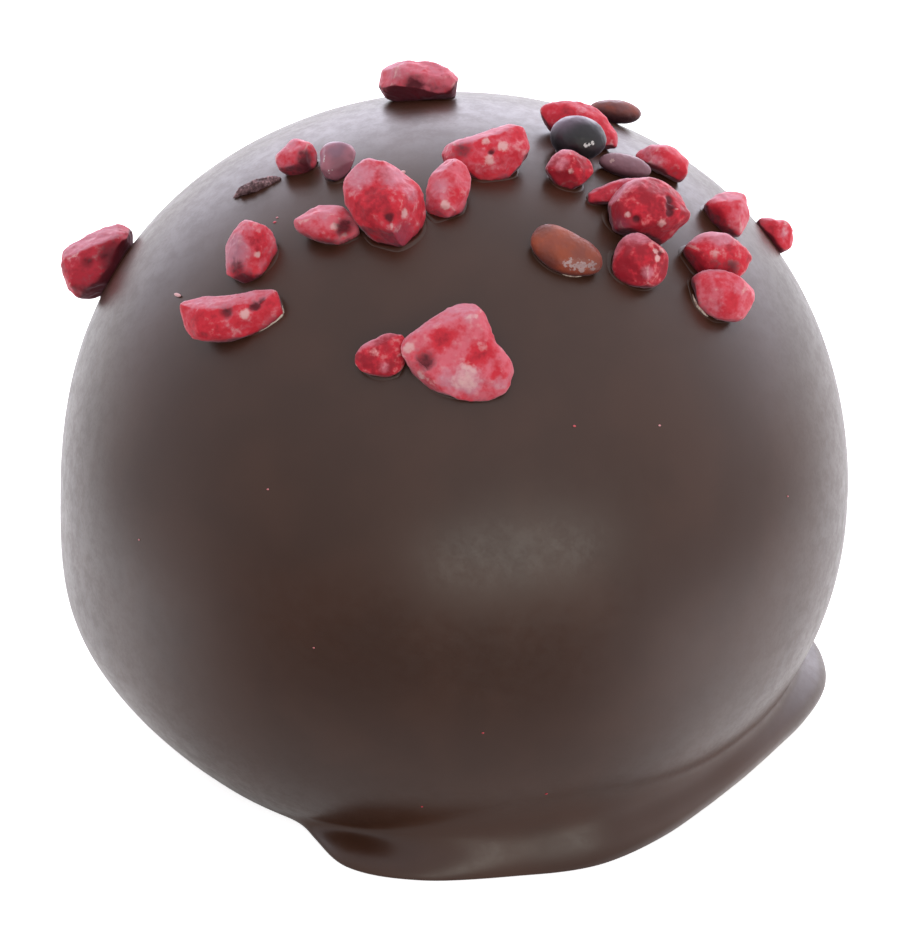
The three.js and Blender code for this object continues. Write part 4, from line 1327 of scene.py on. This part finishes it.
@dataclass
class JuiceBeads:
    """Beads of juice that dried along the foot of some toppings; their pale colour is partly a painted
    highlight, for the glints there.
    """

    form: ChocolateForm
    finish: JuiceFinish = field(default_factory=JuiceFinish)
    steps: int = 36
    sides: int = 10
    thickness: float = 0.1
    heading_step: float = 5.0
    outset: float = 0.6
    rise: float = 0.4
    # Each bead: its topping, the headings that it runs between, and its thickness as a share.
    beads: tuple[tuple[str, float, float, float], ...] = (
        ("long bean", -42, 14, 1.0), ("amber seed", -70, -20, 0.8), ("chin lobe", -172, -105, 1.0))

    def build(self, toppings: "Toppings") -> bpy.types.Object:
        """Builds the beads.

        Args:
            toppings: The toppings that they lie along.

        Returns:
            All the beads as one piece.
        """
        every = np.arange(0, 360, self.heading_step)
        lines = {name: (placing, line) for name, placing, line in toppings.contact_lines(every)}
        along = np.linspace(0, 1, self.steps)
        points, faces = [], []
        for name, start, end, share in self.beads:
            placing, line = lines[name]
            headings = start + (end - start) * along
            reach = np.interp(headings, every, line, period=360)
            thin = self.thickness / 2 * share * np.sqrt(np.sin(np.pi * np.clip(along, 0.01, 0.99)))
            turns = 2 * np.pi * np.arange(self.sides) / self.sides
            rows = [placing.over(self.form, headings, reach + thin * (self.outset + math.cos(turn)),
                                 thin * (self.rise + math.sin(turn))) for turn in turns]
            base = sum(len(block) for block in points)
            for step in range(self.steps - 1):
                for side in range(self.sides):
                    here, ahead = base + step * self.sides, base + (step + 1) * self.sides
                    turn = (side + 1) % self.sides
                    faces.append([here + side, ahead + side, ahead + turn, here + turn])
            last = base + (self.steps - 1) * self.sides
            faces.append([base + side for side in range(self.sides)])
            faces.append([last + side for side in reversed(range(self.sides))])
            points.append(np.stack(rows, 1).reshape(-1, 3))
        material = self.finish.material()
        return add_mesh("dried_juice_beads", np.concatenate(points), faces, {}, material)


@dataclass
class Toppings:
    """Everything that lies on the crown: the pieces that the front shows, and more behind it."""

    form: ChocolateForm
    first_seed: int = 3
    seed_step: int = 7
    facet_depth: Span = (0.8, 0.95)
    facet_flatness: float = 0.9
    back_pieces: int = 8
    back_seed: int = 41
    back_around: Span = (128, 236)
    back_down: Span = (54, 74)
    back_length: Span = (1.5, 2.7)
    back_width: Span = (0.6, 0.85)
    back_thickness: Span = (0.45, 0.6)
    back_lift: float = 0.14
    back_facets: int = 7
    back_boxiness: float = 2.5
    back_stations: int = 8
    back_reach: Span = (0.88, 1.12)
    back_gap: float = 1.2
    back_rim: float = 13.8
    back_blush: Span = (0.25, 0.06)
    levels: dict[Kind, int] = field(default_factory=lambda: {
        Kind.CHUNK: 5, Kind.NUGGET: 4, Kind.SKIN: 5, Kind.SEED: 5, Kind.STALK: 4, Kind.FLECK: 2})
    bulge_rounds: int = 3
    bulge_soft: float = 0.05
    bulge_sharp: float = 0.16
    most_pale: float = 0.5
    # How dark the painted shade in dips may get.
    most_deep: float = 0.7
    chips: int = 14
    chip_rise: Span = (-0.4, 1)
    chip_depth: Span = (0.02, 0.12)
    chip_flatness: float = 0.96
    soft_rounds: int = 8
    # Painted shade on each piece near where it meets the chocolate.
    contact_shade_height: float = 0.35
    contact_shade_strength: float = 0.7
    # Painted light on faces turned up, back and to the left, mixed into the dust field.
    painted_light_from: tuple[float, float, float] = (-0.35, 0.55, 0.76)
    painted_light_start: float = 0.3
    painted_light_span: float = 0.65
    dust_and_painted_light_strength: float = 0.85
    # Painted shade on the side of each piece that faces the chocolate.
    underside_shade_start: float = 0.25
    underside_shade_span: float = 0.75
    underside_shade_strength: float = 1.0
    contact_level: int = 4
    contact_least: int = 12

    def __post_init__(self) -> None:
        """Gathers the toppings with their places and seeds."""
        every = [*TOPPINGS, *self.behind(), *LOOSE_BITS]
        self.placed = [(topping, Placing.on(self.form, topping), self.first_seed + self.seed_step * index)
                       for index, topping in enumerate(every)]

    def behind(self) -> list[Topping]:
        """The pieces behind the crown, drawn as the part's own source draws them.

        Returns:
            The toppings that the front doesn't show.
        """
        draw = Draws(self.back_seed)
        found: list[Topping] = []
        taken: list[tuple[np.ndarray, float]] = []
        while len(found) < self.back_pieces:
            length = draw.between(*self.back_length)
            around, down = draw.between(*self.back_around), draw.between(*self.back_down)
            size = (length, length * draw.between(*self.back_width),
                    length * draw.between(*self.back_thickness))
            turn = 180 * draw.even()
            reach = tuple(draw.between(*self.back_reach) for _ in range(self.back_stations))
            blush = self.back_blush[0] + self.back_blush[1] * len(found)
            topping = Topping("back piece", around, down, size, turn, 0, self.back_lift * length,
                              self.back_boxiness, self.back_facets, reach, blush=blush)
            middle = Placing.on(self.form, topping).middle
            from_centre = middle - np.array([0, 0, self.form.belly_height])
            aside = np.linalg.norm(from_centre - VIEWWARD * (from_centre @ VIEWWARD))
            clear = all(np.linalg.norm(other - middle) > (other_length + length) / 2 + self.back_gap
                        for other, other_length in taken)
            if clear and aside + length / 2 < self.back_rim:
                found.append(topping)
                taken.append((middle, length))
        return found

    def local_points(self, topping: Topping, seed: int, ball: np.ndarray) -> np.ndarray:
        """The points of one piece, from its middle and along its own directions.

        Args:
            topping: The piece.
            seed: The seed of its facets.
            ball: Points on a ball of radius one.

        Returns:
            One point of the piece for each point of the ball.
        """
        half = np.array(topping.size) / 2
        powers = (np.abs(ball) ** topping.boxiness).sum(1)
        block = ball * powers[:, None] ** (-1 / topping.boxiness)
        step = 360 / len(topping.reach)
        stations = np.array([(step * index, reach) for index, reach in enumerate(topping.reach)])
        reach = curve_around(stations, np.degrees(np.arctan2(ball[:, 1], ball[:, 0])))
        points = block * half * np.stack([reach, reach, np.ones(len(ball))], 1)
        cuts = [(direction(heading, rise), depth) for heading, rise, depth in topping.faces]
        draw = Draws(seed)
        for _ in range(topping.facets):
            height, turn = draw.between(-1, 1), 2 * math.pi * draw.even()
            flat = math.sqrt(1 - height**2)
            cuts.append((np.array([flat * math.cos(turn), flat * math.sin(turn), height]),
                         draw.between(*self.facet_depth)))
        for facing, depth in cuts:
            over = np.maximum(points @ facing - depth * np.linalg.norm(half * facing), 0)
            points = points - facing * (over * self.facet_flatness)[:, None]
        return points

    def outlook(self, points: np.ndarray, corners: np.ndarray) -> tuple[np.ndarray, np.ndarray]:
        """The normals of a closed mesh, and how sharply it bulges.

        Args:
            points: Its points.
            corners: The corners of its triangles.

        Returns:
            One normal for each point, and one bulge, above 0 on ridges and below 0 in dips.
        """
        a, b, c = (points[corners[:, k]] for k in range(3))
        facing = np.cross(b - a, c - a)
        normals = np.zeros_like(points)
        for k in range(3):
            np.add.at(normals, corners[:, k], facing)
        normals /= np.linalg.norm(normals, axis=1)[:, None]
        bulge = -((ring_mean(points, corners) - points) * normals).sum(1)
        for _ in range(self.bulge_rounds):
            bulge = (bulge + ring_mean(bulge, corners)) / 2
        return normals, bulge / math.sqrt(np.linalg.norm(facing, axis=1).mean())

    def piece_mesh(self, topping: Topping, placing: Placing, seed: int,
                   level: int) -> tuple[np.ndarray, np.ndarray, dict[str, np.ndarray]]:
        """One dressed piece.

        Args:
            topping: The piece.
            placing: Its place.
            seed: The seed of its facets.
            level: How fine its mesh is.

        Returns:
            Its points in the part's frame, its triangles and its values for the material.
        """
        ball, corners = ball_grid(level)
        points = self.local_points(topping, seed, ball)
        if topping.facets:
            points = self.chipped(points, topping, Draws(-seed))
        _, bulge = self.outlook(points, corners)
        for _ in range(self.soft_rounds if topping.facets else 0):
            points = (points + ring_mean(points, corners)) / 2
        normals, _ = self.outlook(points, corners)
        values = self.bare_values(topping, placing, normals, bulge)
        points = self.marked(topping, points, normals, values)
        placed = placing.middle + points @ placing.across
        if topping.kind is Kind.FLECK:
            values["deep"] = np.zeros(len(points))
            return placed, corners, values
        # Painted shade where the piece comes near the chocolate; it also takes away pale and dust there.
        contact_shade = np.clip(1 - self.form.distance_of(placed) / self.contact_shade_height, 0, 1) * self.contact_shade_strength
        values["deep"] = np.maximum(values["deep"], contact_shade)
        values["pale"] = values["pale"] * (1 - contact_shade)
        values["dust_and_painted_light"] = values["dust_and_painted_light"] * (1 - contact_shade)
        return placed, corners, values

    def bare_values(self, topping: Topping, placing: Placing, normals: np.ndarray,
                    bulge: np.ndarray) -> dict[str, np.ndarray]:
        """The values of a piece before its marks: pale ridges, painted shade in dips and on the underside,
        and painted light on faces turned up and back, in the dust field.

        Args:
            topping: The piece.
            placing: Its place.
            normals: The normals of its points.
            bulge: How sharply it bulges there.

        Returns:
            The values of its points, by name.
        """
        span = self.bulge_sharp - self.bulge_soft
        outward = normals @ placing.across
        # Painted light on faces turned up and back; painted shade in dips and underneath.
        dust_and_painted_light = np.clip((outward @ self.painted_light_from - self.painted_light_start) / self.painted_light_span, 0, 1)
        under = np.clip((self.underside_shade_start - outward @ placing.outward) / self.underside_shade_span, 0, 1)
        dip_shade = np.clip((-bulge - self.bulge_soft / 2) / span, 0, self.most_deep)
        return {"pale": np.clip((bulge - self.bulge_soft) / span, 0, self.most_pale),
                "dust_and_painted_light": dust_and_painted_light * self.dust_and_painted_light_strength,
                "deep": np.maximum(dip_shade, under * self.underside_shade_strength),
                "plum": np.full(len(normals), topping.plum),
                "blush": np.full(len(normals), topping.blush)}

    def marked(self, topping: Topping, points: np.ndarray, normals: np.ndarray,
               values: dict[str, np.ndarray]) -> np.ndarray:
        """Adds a piece's marks to its values, and dents it where they sink in.

        Args:
            topping: The piece.
            points: Its points, from its middle.
            normals: Their normals.
            values: Their values, which are changed.

        Returns:
            The points with the dents.
        """
        headings = points / np.linalg.norm(points, axis=1)[:, None]
        sunk = np.zeros(len(points))
        for mark in topping.marks:
            centre = points[np.argmax(headings @ direction(mark.heading, mark.rise))]
            away = np.linalg.norm(points - centre, axis=1) / mark.radius
            share = np.exp(-(away**3)) * mark.strength
            sunk += mark.sink * np.exp(-(away**4))
            if mark.tint is Tint.RED:
                for name in ("blush", "pale", "dust_and_painted_light"):
                    values[name] = values[name] * (1 - share)
            else:
                name = mark.tint.value
                values[name] = np.maximum(values[name], share)
        return points - normals * sunk[:, None]

    def chipped(self, points: np.ndarray, topping: Topping, draw: Draws) -> np.ndarray:
        """The points of a piece with small flats, where crumbs broke off it.

        Args:
            points: Its points, from its middle.
            topping: The piece.
            draw: The draws for the flats.

        Returns:
            The points with the flats.
        """
        for _ in range(self.chips):
            height, turn = draw.between(*self.chip_rise), 2 * math.pi * draw.even()
            flat = math.sqrt(1 - height**2)
            facing = np.array([flat * math.cos(turn), flat * math.sin(turn), height])
            cut = draw.between(*self.chip_depth) * topping.size[2]
            over = np.maximum(points @ facing - (points @ facing).max() + cut, 0)
            points = points - facing * (over * self.chip_flatness)[:, None]
        return points

    def contact_lines(self, headings: np.ndarray) -> list[tuple[str, Placing, np.ndarray]]:
        """How far from its spot each piece meets the chocolate, at some headings.

        Args:
            headings: The headings, from the piece's length, in the plane of the chocolate.

        Returns:
            Each piece's name and place with its line.
        """
        ball, corners = ball_grid(self.contact_level)
        edges = np.concatenate([corners[:, [0, 1]], corners[:, [1, 2]], corners[:, [2, 0]]])
        lines = []
        for topping, placing, seed in self.placed:
            if topping.kind in (Kind.FLECK, Kind.STALK):
                continue
            points = placing.middle + self.local_points(topping, seed, ball) @ placing.across
            apart = self.form.distance_of(points)
            crossing = edges[apart[edges[:, 0]] * apart[edges[:, 1]] < 0]
            if len(crossing) < self.contact_least:
                continue
            first, second = crossing[:, 0], crossing[:, 1]
            share = (apart[first] / (apart[first] - apart[second]))[:, None]
            touch = points[first] * (1 - share) + points[second] * share - placing.spot
            along = unit(placing.length - placing.outward * (placing.length @ placing.outward))
            side = np.cross(placing.outward, along)
            u, v = touch @ along, touch @ side
            angle = np.degrees(np.arctan2(v, u))
            order = np.argsort(angle)
            line = np.interp(headings, angle[order], np.hypot(u, v)[order], period=360)
            lines.append((topping.name, placing, line))
        return lines

    def gather(self, kind: Kind, material: bpy.types.Material) -> bpy.types.Object:
        """All the toppings of one kind, as one piece.

        Args:
            kind: Which toppings.
            material: Their material.

        Returns:
            The piece.
        """
        points, faces, fields, base = [], [], {}, 0
        for topping, placing, seed in self.placed:
            if topping.kind is not kind:
                continue
            placed, corners, values = self.piece_mesh(topping, placing, seed, self.levels[kind])
            points.append(placed)
            faces.append(corners + base)
            base += len(placed)
            for name, numbers in values.items():
                fields.setdefault(name, []).append(numbers)
        joined = {name: np.concatenate(parts) for name, parts in fields.items()}
        return add_mesh(kind.value, np.concatenate(points), np.concatenate(faces), joined, material)


@dataclass
class Crumbs:
    """Crumbs and dust of dried fruit that cling to the pieces."""

    density: float = 0.8
    seed: int = 5
    size: float = 0.035
    lumpiness: float = 0.35
    splits: int = 2
    least_stretch: tuple[float, float, float] = (0.35, 0.3, 0.25)
    most_stretch: tuple[float, float, float] = (1.2, 0.9, 0.7)
    full_turn: tuple[float, float, float] = (6.28, 6.28, 6.28)

    def build(self, host: bpy.types.Object, material: bpy.types.Material) -> bpy.types.Object:
        """Scatters the crumbs.

        Args:
            host: The piece that they cling to.
            material: Their material.

        Returns:
            All the crumbs as one piece.
        """
        crumbs = bpy.data.objects.new("raspberry_crumbs", host.data.copy())
        bpy.context.scene.collection.objects.link(crumbs)
        shape = ShapeTree("clinging_crumbs", {
            "Density": self.density / MM**2, "Seed": self.seed, "Crumb Size": self.size * MM,
            "Lumpiness": self.lumpiness})
        sheet, given = shape.sheet, shape.given
        spots = sheet.add("GeometryNodeDistributePointsOnFaces", {
            "Mesh": given["Geometry"], "Density": given["Density"], "Seed": given["Seed"]})
        ball = sheet.add("GeometryNodeMeshIcoSphere", {"Radius": given["Crumb Size"],
                                                       "Subdivisions": self.splits})
        lumps = sheet.maths("MULTIPLY", shape.noise(given["Crumb Size"]), given["Lumpiness"])
        lumps = sheet.maths("MULTIPLY", lumps, sheet.maths("MULTIPLY", given["Crumb Size"], 3.0))
        normal = sheet.add("GeometryNodeInputNormal").outputs[0]
        offset = sheet.add("ShaderNodeVectorMath", {0: normal, "Scale": lumps}, operation="SCALE")
        crumb = sheet.add("GeometryNodeSetPosition", {"Geometry": ball.outputs["Mesh"],
                                                      "Offset": offset.outputs[0]})
        turn, stretch = (
            sheet.add("FunctionNodeRandomValue", {0: least, 1: most, "Seed": given["Seed"]},
                      data_type="FLOAT_VECTOR")
            for least, most in (((0.0, 0.0, 0.0), self.full_turn), (self.least_stretch, self.most_stretch)))
        placed = sheet.add("GeometryNodeInstanceOnPoints", {
            "Points": spots.outputs["Points"], "Instance": crumb.outputs[0],
            "Rotation": turn.outputs[0], "Scale": stretch.outputs[0]})
        shape.end(placed.outputs[0], material)
        shape.run(crumbs)
        return crumbs


@dataclass
class Studio:
    """The pale floor, the soft lights and the camera at the photograph's angle."""

    aim_height: float = 8.1
    camera_distance: float = 250.0
    raise_by: float = 0.52
    lens: float = 268.4
    sensor: float = 36.0
    clip: Span = (0.01, 20.0)
    floor_side: float = 3000.0
    floor_drop: float = 0.05
    floor_colour: Colour = (0.9, 0.9, 0.9)
    floor_roughness: float = 0.8
    floor_glow: float = 0.84
    dim_side: Colour = (0.38, 0.38, 0.38)
    side_from: float = 0.1
    side_to: float = 0.7
    side_near: float = 18.0
    side_far: float = 60.0
    dim_front: Colour = (0.13, 0.13, 0.13)
    dim_near: float = 14.0
    dim_far: float = 34.0
    dim_near_share: float = 0.65
    dim_heading: tuple[float, float, float] = (-0.17, -0.98, 0.0)
    dim_from: float = 0.35
    dim_to: float = 0.9
    overhead: Colour = (0.95, 0.95, 1.0)
    behind: Colour = (4.7, 4.65, 5.35)
    front: Colour = (0.74, 0.73, 0.74)
    high_from: float = 0.25
    high_to: float = 0.85
    behind_reach: float = 0.25
    behind_focus: float = 3.0
    front_range: Span = (0.1, -0.6)
    sideways_range: Span = (-0.3, 0.5)
    sideways: Span = (0.14, 0.24)
    glow_place: tuple[float, float, float] = (118, -378, 52)
    glow_size: Span = (400.0, 155.0)
    glow_power: float = 0.38
    glow_colour: Colour = (1.0, 1.0, 0.9)

    def build(self) -> None:
        """Sets the stage up."""
        self.camera()
        self.floor()
        self.sky()
        self.softbox()
        bpy.context.scene.view_settings.view_transform = "Standard"

    def camera(self) -> None:
        """Places the camera where the photograph was taken from."""
        lens = bpy.data.cameras.new("camera")
        lens.lens = self.lens
        lens.sensor_width = self.sensor
        lens.clip_start, lens.clip_end = self.clip
        camera = bpy.data.objects.new("camera", lens)
        tilt = math.radians(VIEW_ELEVATION)
        upward = Vector((0, math.sin(tilt), math.cos(tilt)))
        aim = Vector((0, 0, self.aim_height)) + upward * self.raise_by
        camera.location = (aim + Vector(VIEWWARD) * self.camera_distance) * MM
        camera.rotation_mode = "QUATERNION"
        camera.rotation_quaternion = Vector(-VIEWWARD).to_track_quat("-Z", "Y")
        bpy.context.scene.collection.objects.link(camera)
        bpy.context.scene.camera = camera

    def floor(self) -> None:
        """Lays the pale floor. It glows and so lights the praline from below; for every ray but the camera's
        it is darker in front of the praline and at its sides, a painted shade that the chocolate reflects.
        """
        material = bpy.data.materials.new("pale_floor")
        material.use_nodes = True
        sheet = Sheet(material.node_tree)
        place = sheet.add("ShaderNodeTexCoord").outputs["Object"]
        heading = sheet.add("ShaderNodeVectorMath", {0: place}, operation="NORMALIZE").outputs[0]
        frontward = sheet.add("ShaderNodeVectorMath", {0: heading, 1: self.dim_heading},
                              operation="DOT_PRODUCT").outputs["Value"]
        away = sheet.add("ShaderNodeVectorMath", {0: place}, operation="LENGTH").outputs["Value"]
        apart = sheet.spread(away, self.dim_near * MM, self.dim_far * MM, self.dim_near_share, 1.0)
        dimmed = sheet.maths("MULTIPLY", sheet.spread(frontward, self.dim_from, self.dim_to), apart)
        backness = sheet.add("ShaderNodeSeparateXYZ", {0: heading}).outputs[1]
        aside = sheet.maths("MULTIPLY", sheet.spread(backness, self.side_from, self.side_to, 1.0, 0.0),
                            sheet.spread(away, self.side_near * MM, self.side_far * MM))
        toned = sheet.blend(aside, paint(self.floor_colour), paint(self.dim_side))
        toned = sheet.blend(dimmed, toned, paint(self.dim_front))
        seen = sheet.add("ShaderNodeLightPath").outputs["Is Camera Ray"]
        colour = sheet.blend(seen, toned, paint(self.floor_colour))
        shader = sheet.add("ShaderNodeBsdfPrincipled", {
            "Roughness": self.floor_roughness, "Base Color": colour, "Emission Color": colour,
            "Emission Strength": self.floor_glow})
        sheet.add("ShaderNodeOutputMaterial", {"Surface": shader.outputs[0]})
        half = self.floor_side / 2
        corners = np.array([(-half, -half, 0), (half, -half, 0), (half, half, 0), (-half, half, 0)])
        corners[:, 2] = -self.floor_drop
        add_mesh("floor", corners, [[0, 1, 2, 3]], {}, material)

    def sky(self) -> None:
        """Surrounds the stage with soft light that is brighter behind the praline."""
        world = bpy.data.worlds.new("surround")
        world.use_nodes = True
        sheet = Sheet(world.node_tree)
        toward = sheet.add("ShaderNodeTexCoord").outputs["Generated"]
        parts = sheet.add("ShaderNodeSeparateXYZ", {0: toward}).outputs
        low = sheet.spread(parts[2], self.high_from, self.high_to, 1.0, 0.0)
        past_side = sheet.maths("MAXIMUM", sheet.maths("ADD", parts[1], self.behind_reach), 0.0)
        backward = sheet.maths("POWER", sheet.maths("DIVIDE", past_side, 1 + self.behind_reach),
                               self.behind_focus)
        backward = sheet.maths("MULTIPLY", backward, low)
        forward = sheet.maths("MULTIPLY", sheet.spread(parts[1], *self.front_range), low)
        colour = sheet.blend(forward, paint(self.overhead), paint(self.front))
        colour = sheet.blend(backward, colour, paint(self.behind))
        uneven = sheet.spread(parts[1], *self.sideways_range, *self.sideways)
        strength = sheet.maths("ADD", 1.0, sheet.maths("MULTIPLY", parts[0], uneven))
        shine = sheet.add("ShaderNodeBackground", {"Color": colour, "Strength": strength})
        sheet.add("ShaderNodeOutputWorld", {"Surface": shine.outputs[0]})
        bpy.context.scene.world = world

    def softbox(self) -> None:
        """Hangs the softbox that glows on the front, turned to the praline."""
        light = bpy.data.lights.new("front_glow", "AREA")
        light.shape = "ELLIPSE"
        light.size, light.size_y = (length * MM for length in self.glow_size)
        light.energy = self.glow_power
        light.color = self.glow_colour
        lamp = bpy.data.objects.new("front_glow", light)
        lamp.location = Vector(self.glow_place) * MM
        lamp.rotation_mode = "QUATERNION"
        outward = lamp.location - Vector((0, 0, self.aim_height * MM))
        lamp.rotation_quaternion = outward.to_track_quat("Z", "Y")
        lamp.visible_camera = False
        bpy.context.scene.collection.objects.link(lamp)


def settle(piece: bpy.types.Object) -> None:
    """Joins a finished piece to the praline and reports it.

    Args:
        piece: The piece.
    """
    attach(piece, BODY)
    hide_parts(NODE)
    LOG.info("%s: %d faces", piece.name, len(piece.data.polygons))


def main() -> None:
    """Builds the praline and its stage."""
    logging.basicConfig(level=logging.INFO, format="%(message)s")
    Studio().build()
    form = ChocolateForm()
    toppings = Toppings(form)
    pieces = ChocolateShell(form).build(toppings)
    pieces.append(JuiceBeads(form).build(toppings))
    flesh = FleshFinish().material()
    relief = ReliefTree("dried_relief", lump_size=0.8, lump_height=0.05, fold_size=0.8, fold_height=0.035,
                        grain_size=0.22, grain_height=0.012)
    for kind in (Kind.CHUNK, Kind.NUGGET):
        fruit = toppings.gather(kind, flesh)
        relief.run(fruit, flesh)
        pieces.append(fruit)
    pieces.append(Crumbs().build(pieces[-2], flesh))
    pieces.append(toppings.gather(Kind.FLECK, flesh))
    low = ReliefTree("skin_relief", lump_size=0.7, lump_height=0.03, fold_size=0.7, fold_height=0.01,
                     grain_size=0.2, grain_height=0.004)
    rough = ReliefTree("shred_relief", lump_size=0.22, lump_height=0.09, fold_size=0.3, fold_height=0.02,
                       grain_size=0.1, grain_height=0.03)
    for kind, finish, tree in ((Kind.SKIN, SkinFinish(), low), (Kind.SEED, SeedFinish(), low),
                               (Kind.STALK, StalkFinish(), rough)):
        material = finish.material()
        piece = toppings.gather(kind, material)
        tree.run(piece, material)
        pieces.append(piece)
    for piece in pieces:
        settle(piece)


if __name__ == "__main__":
    main()
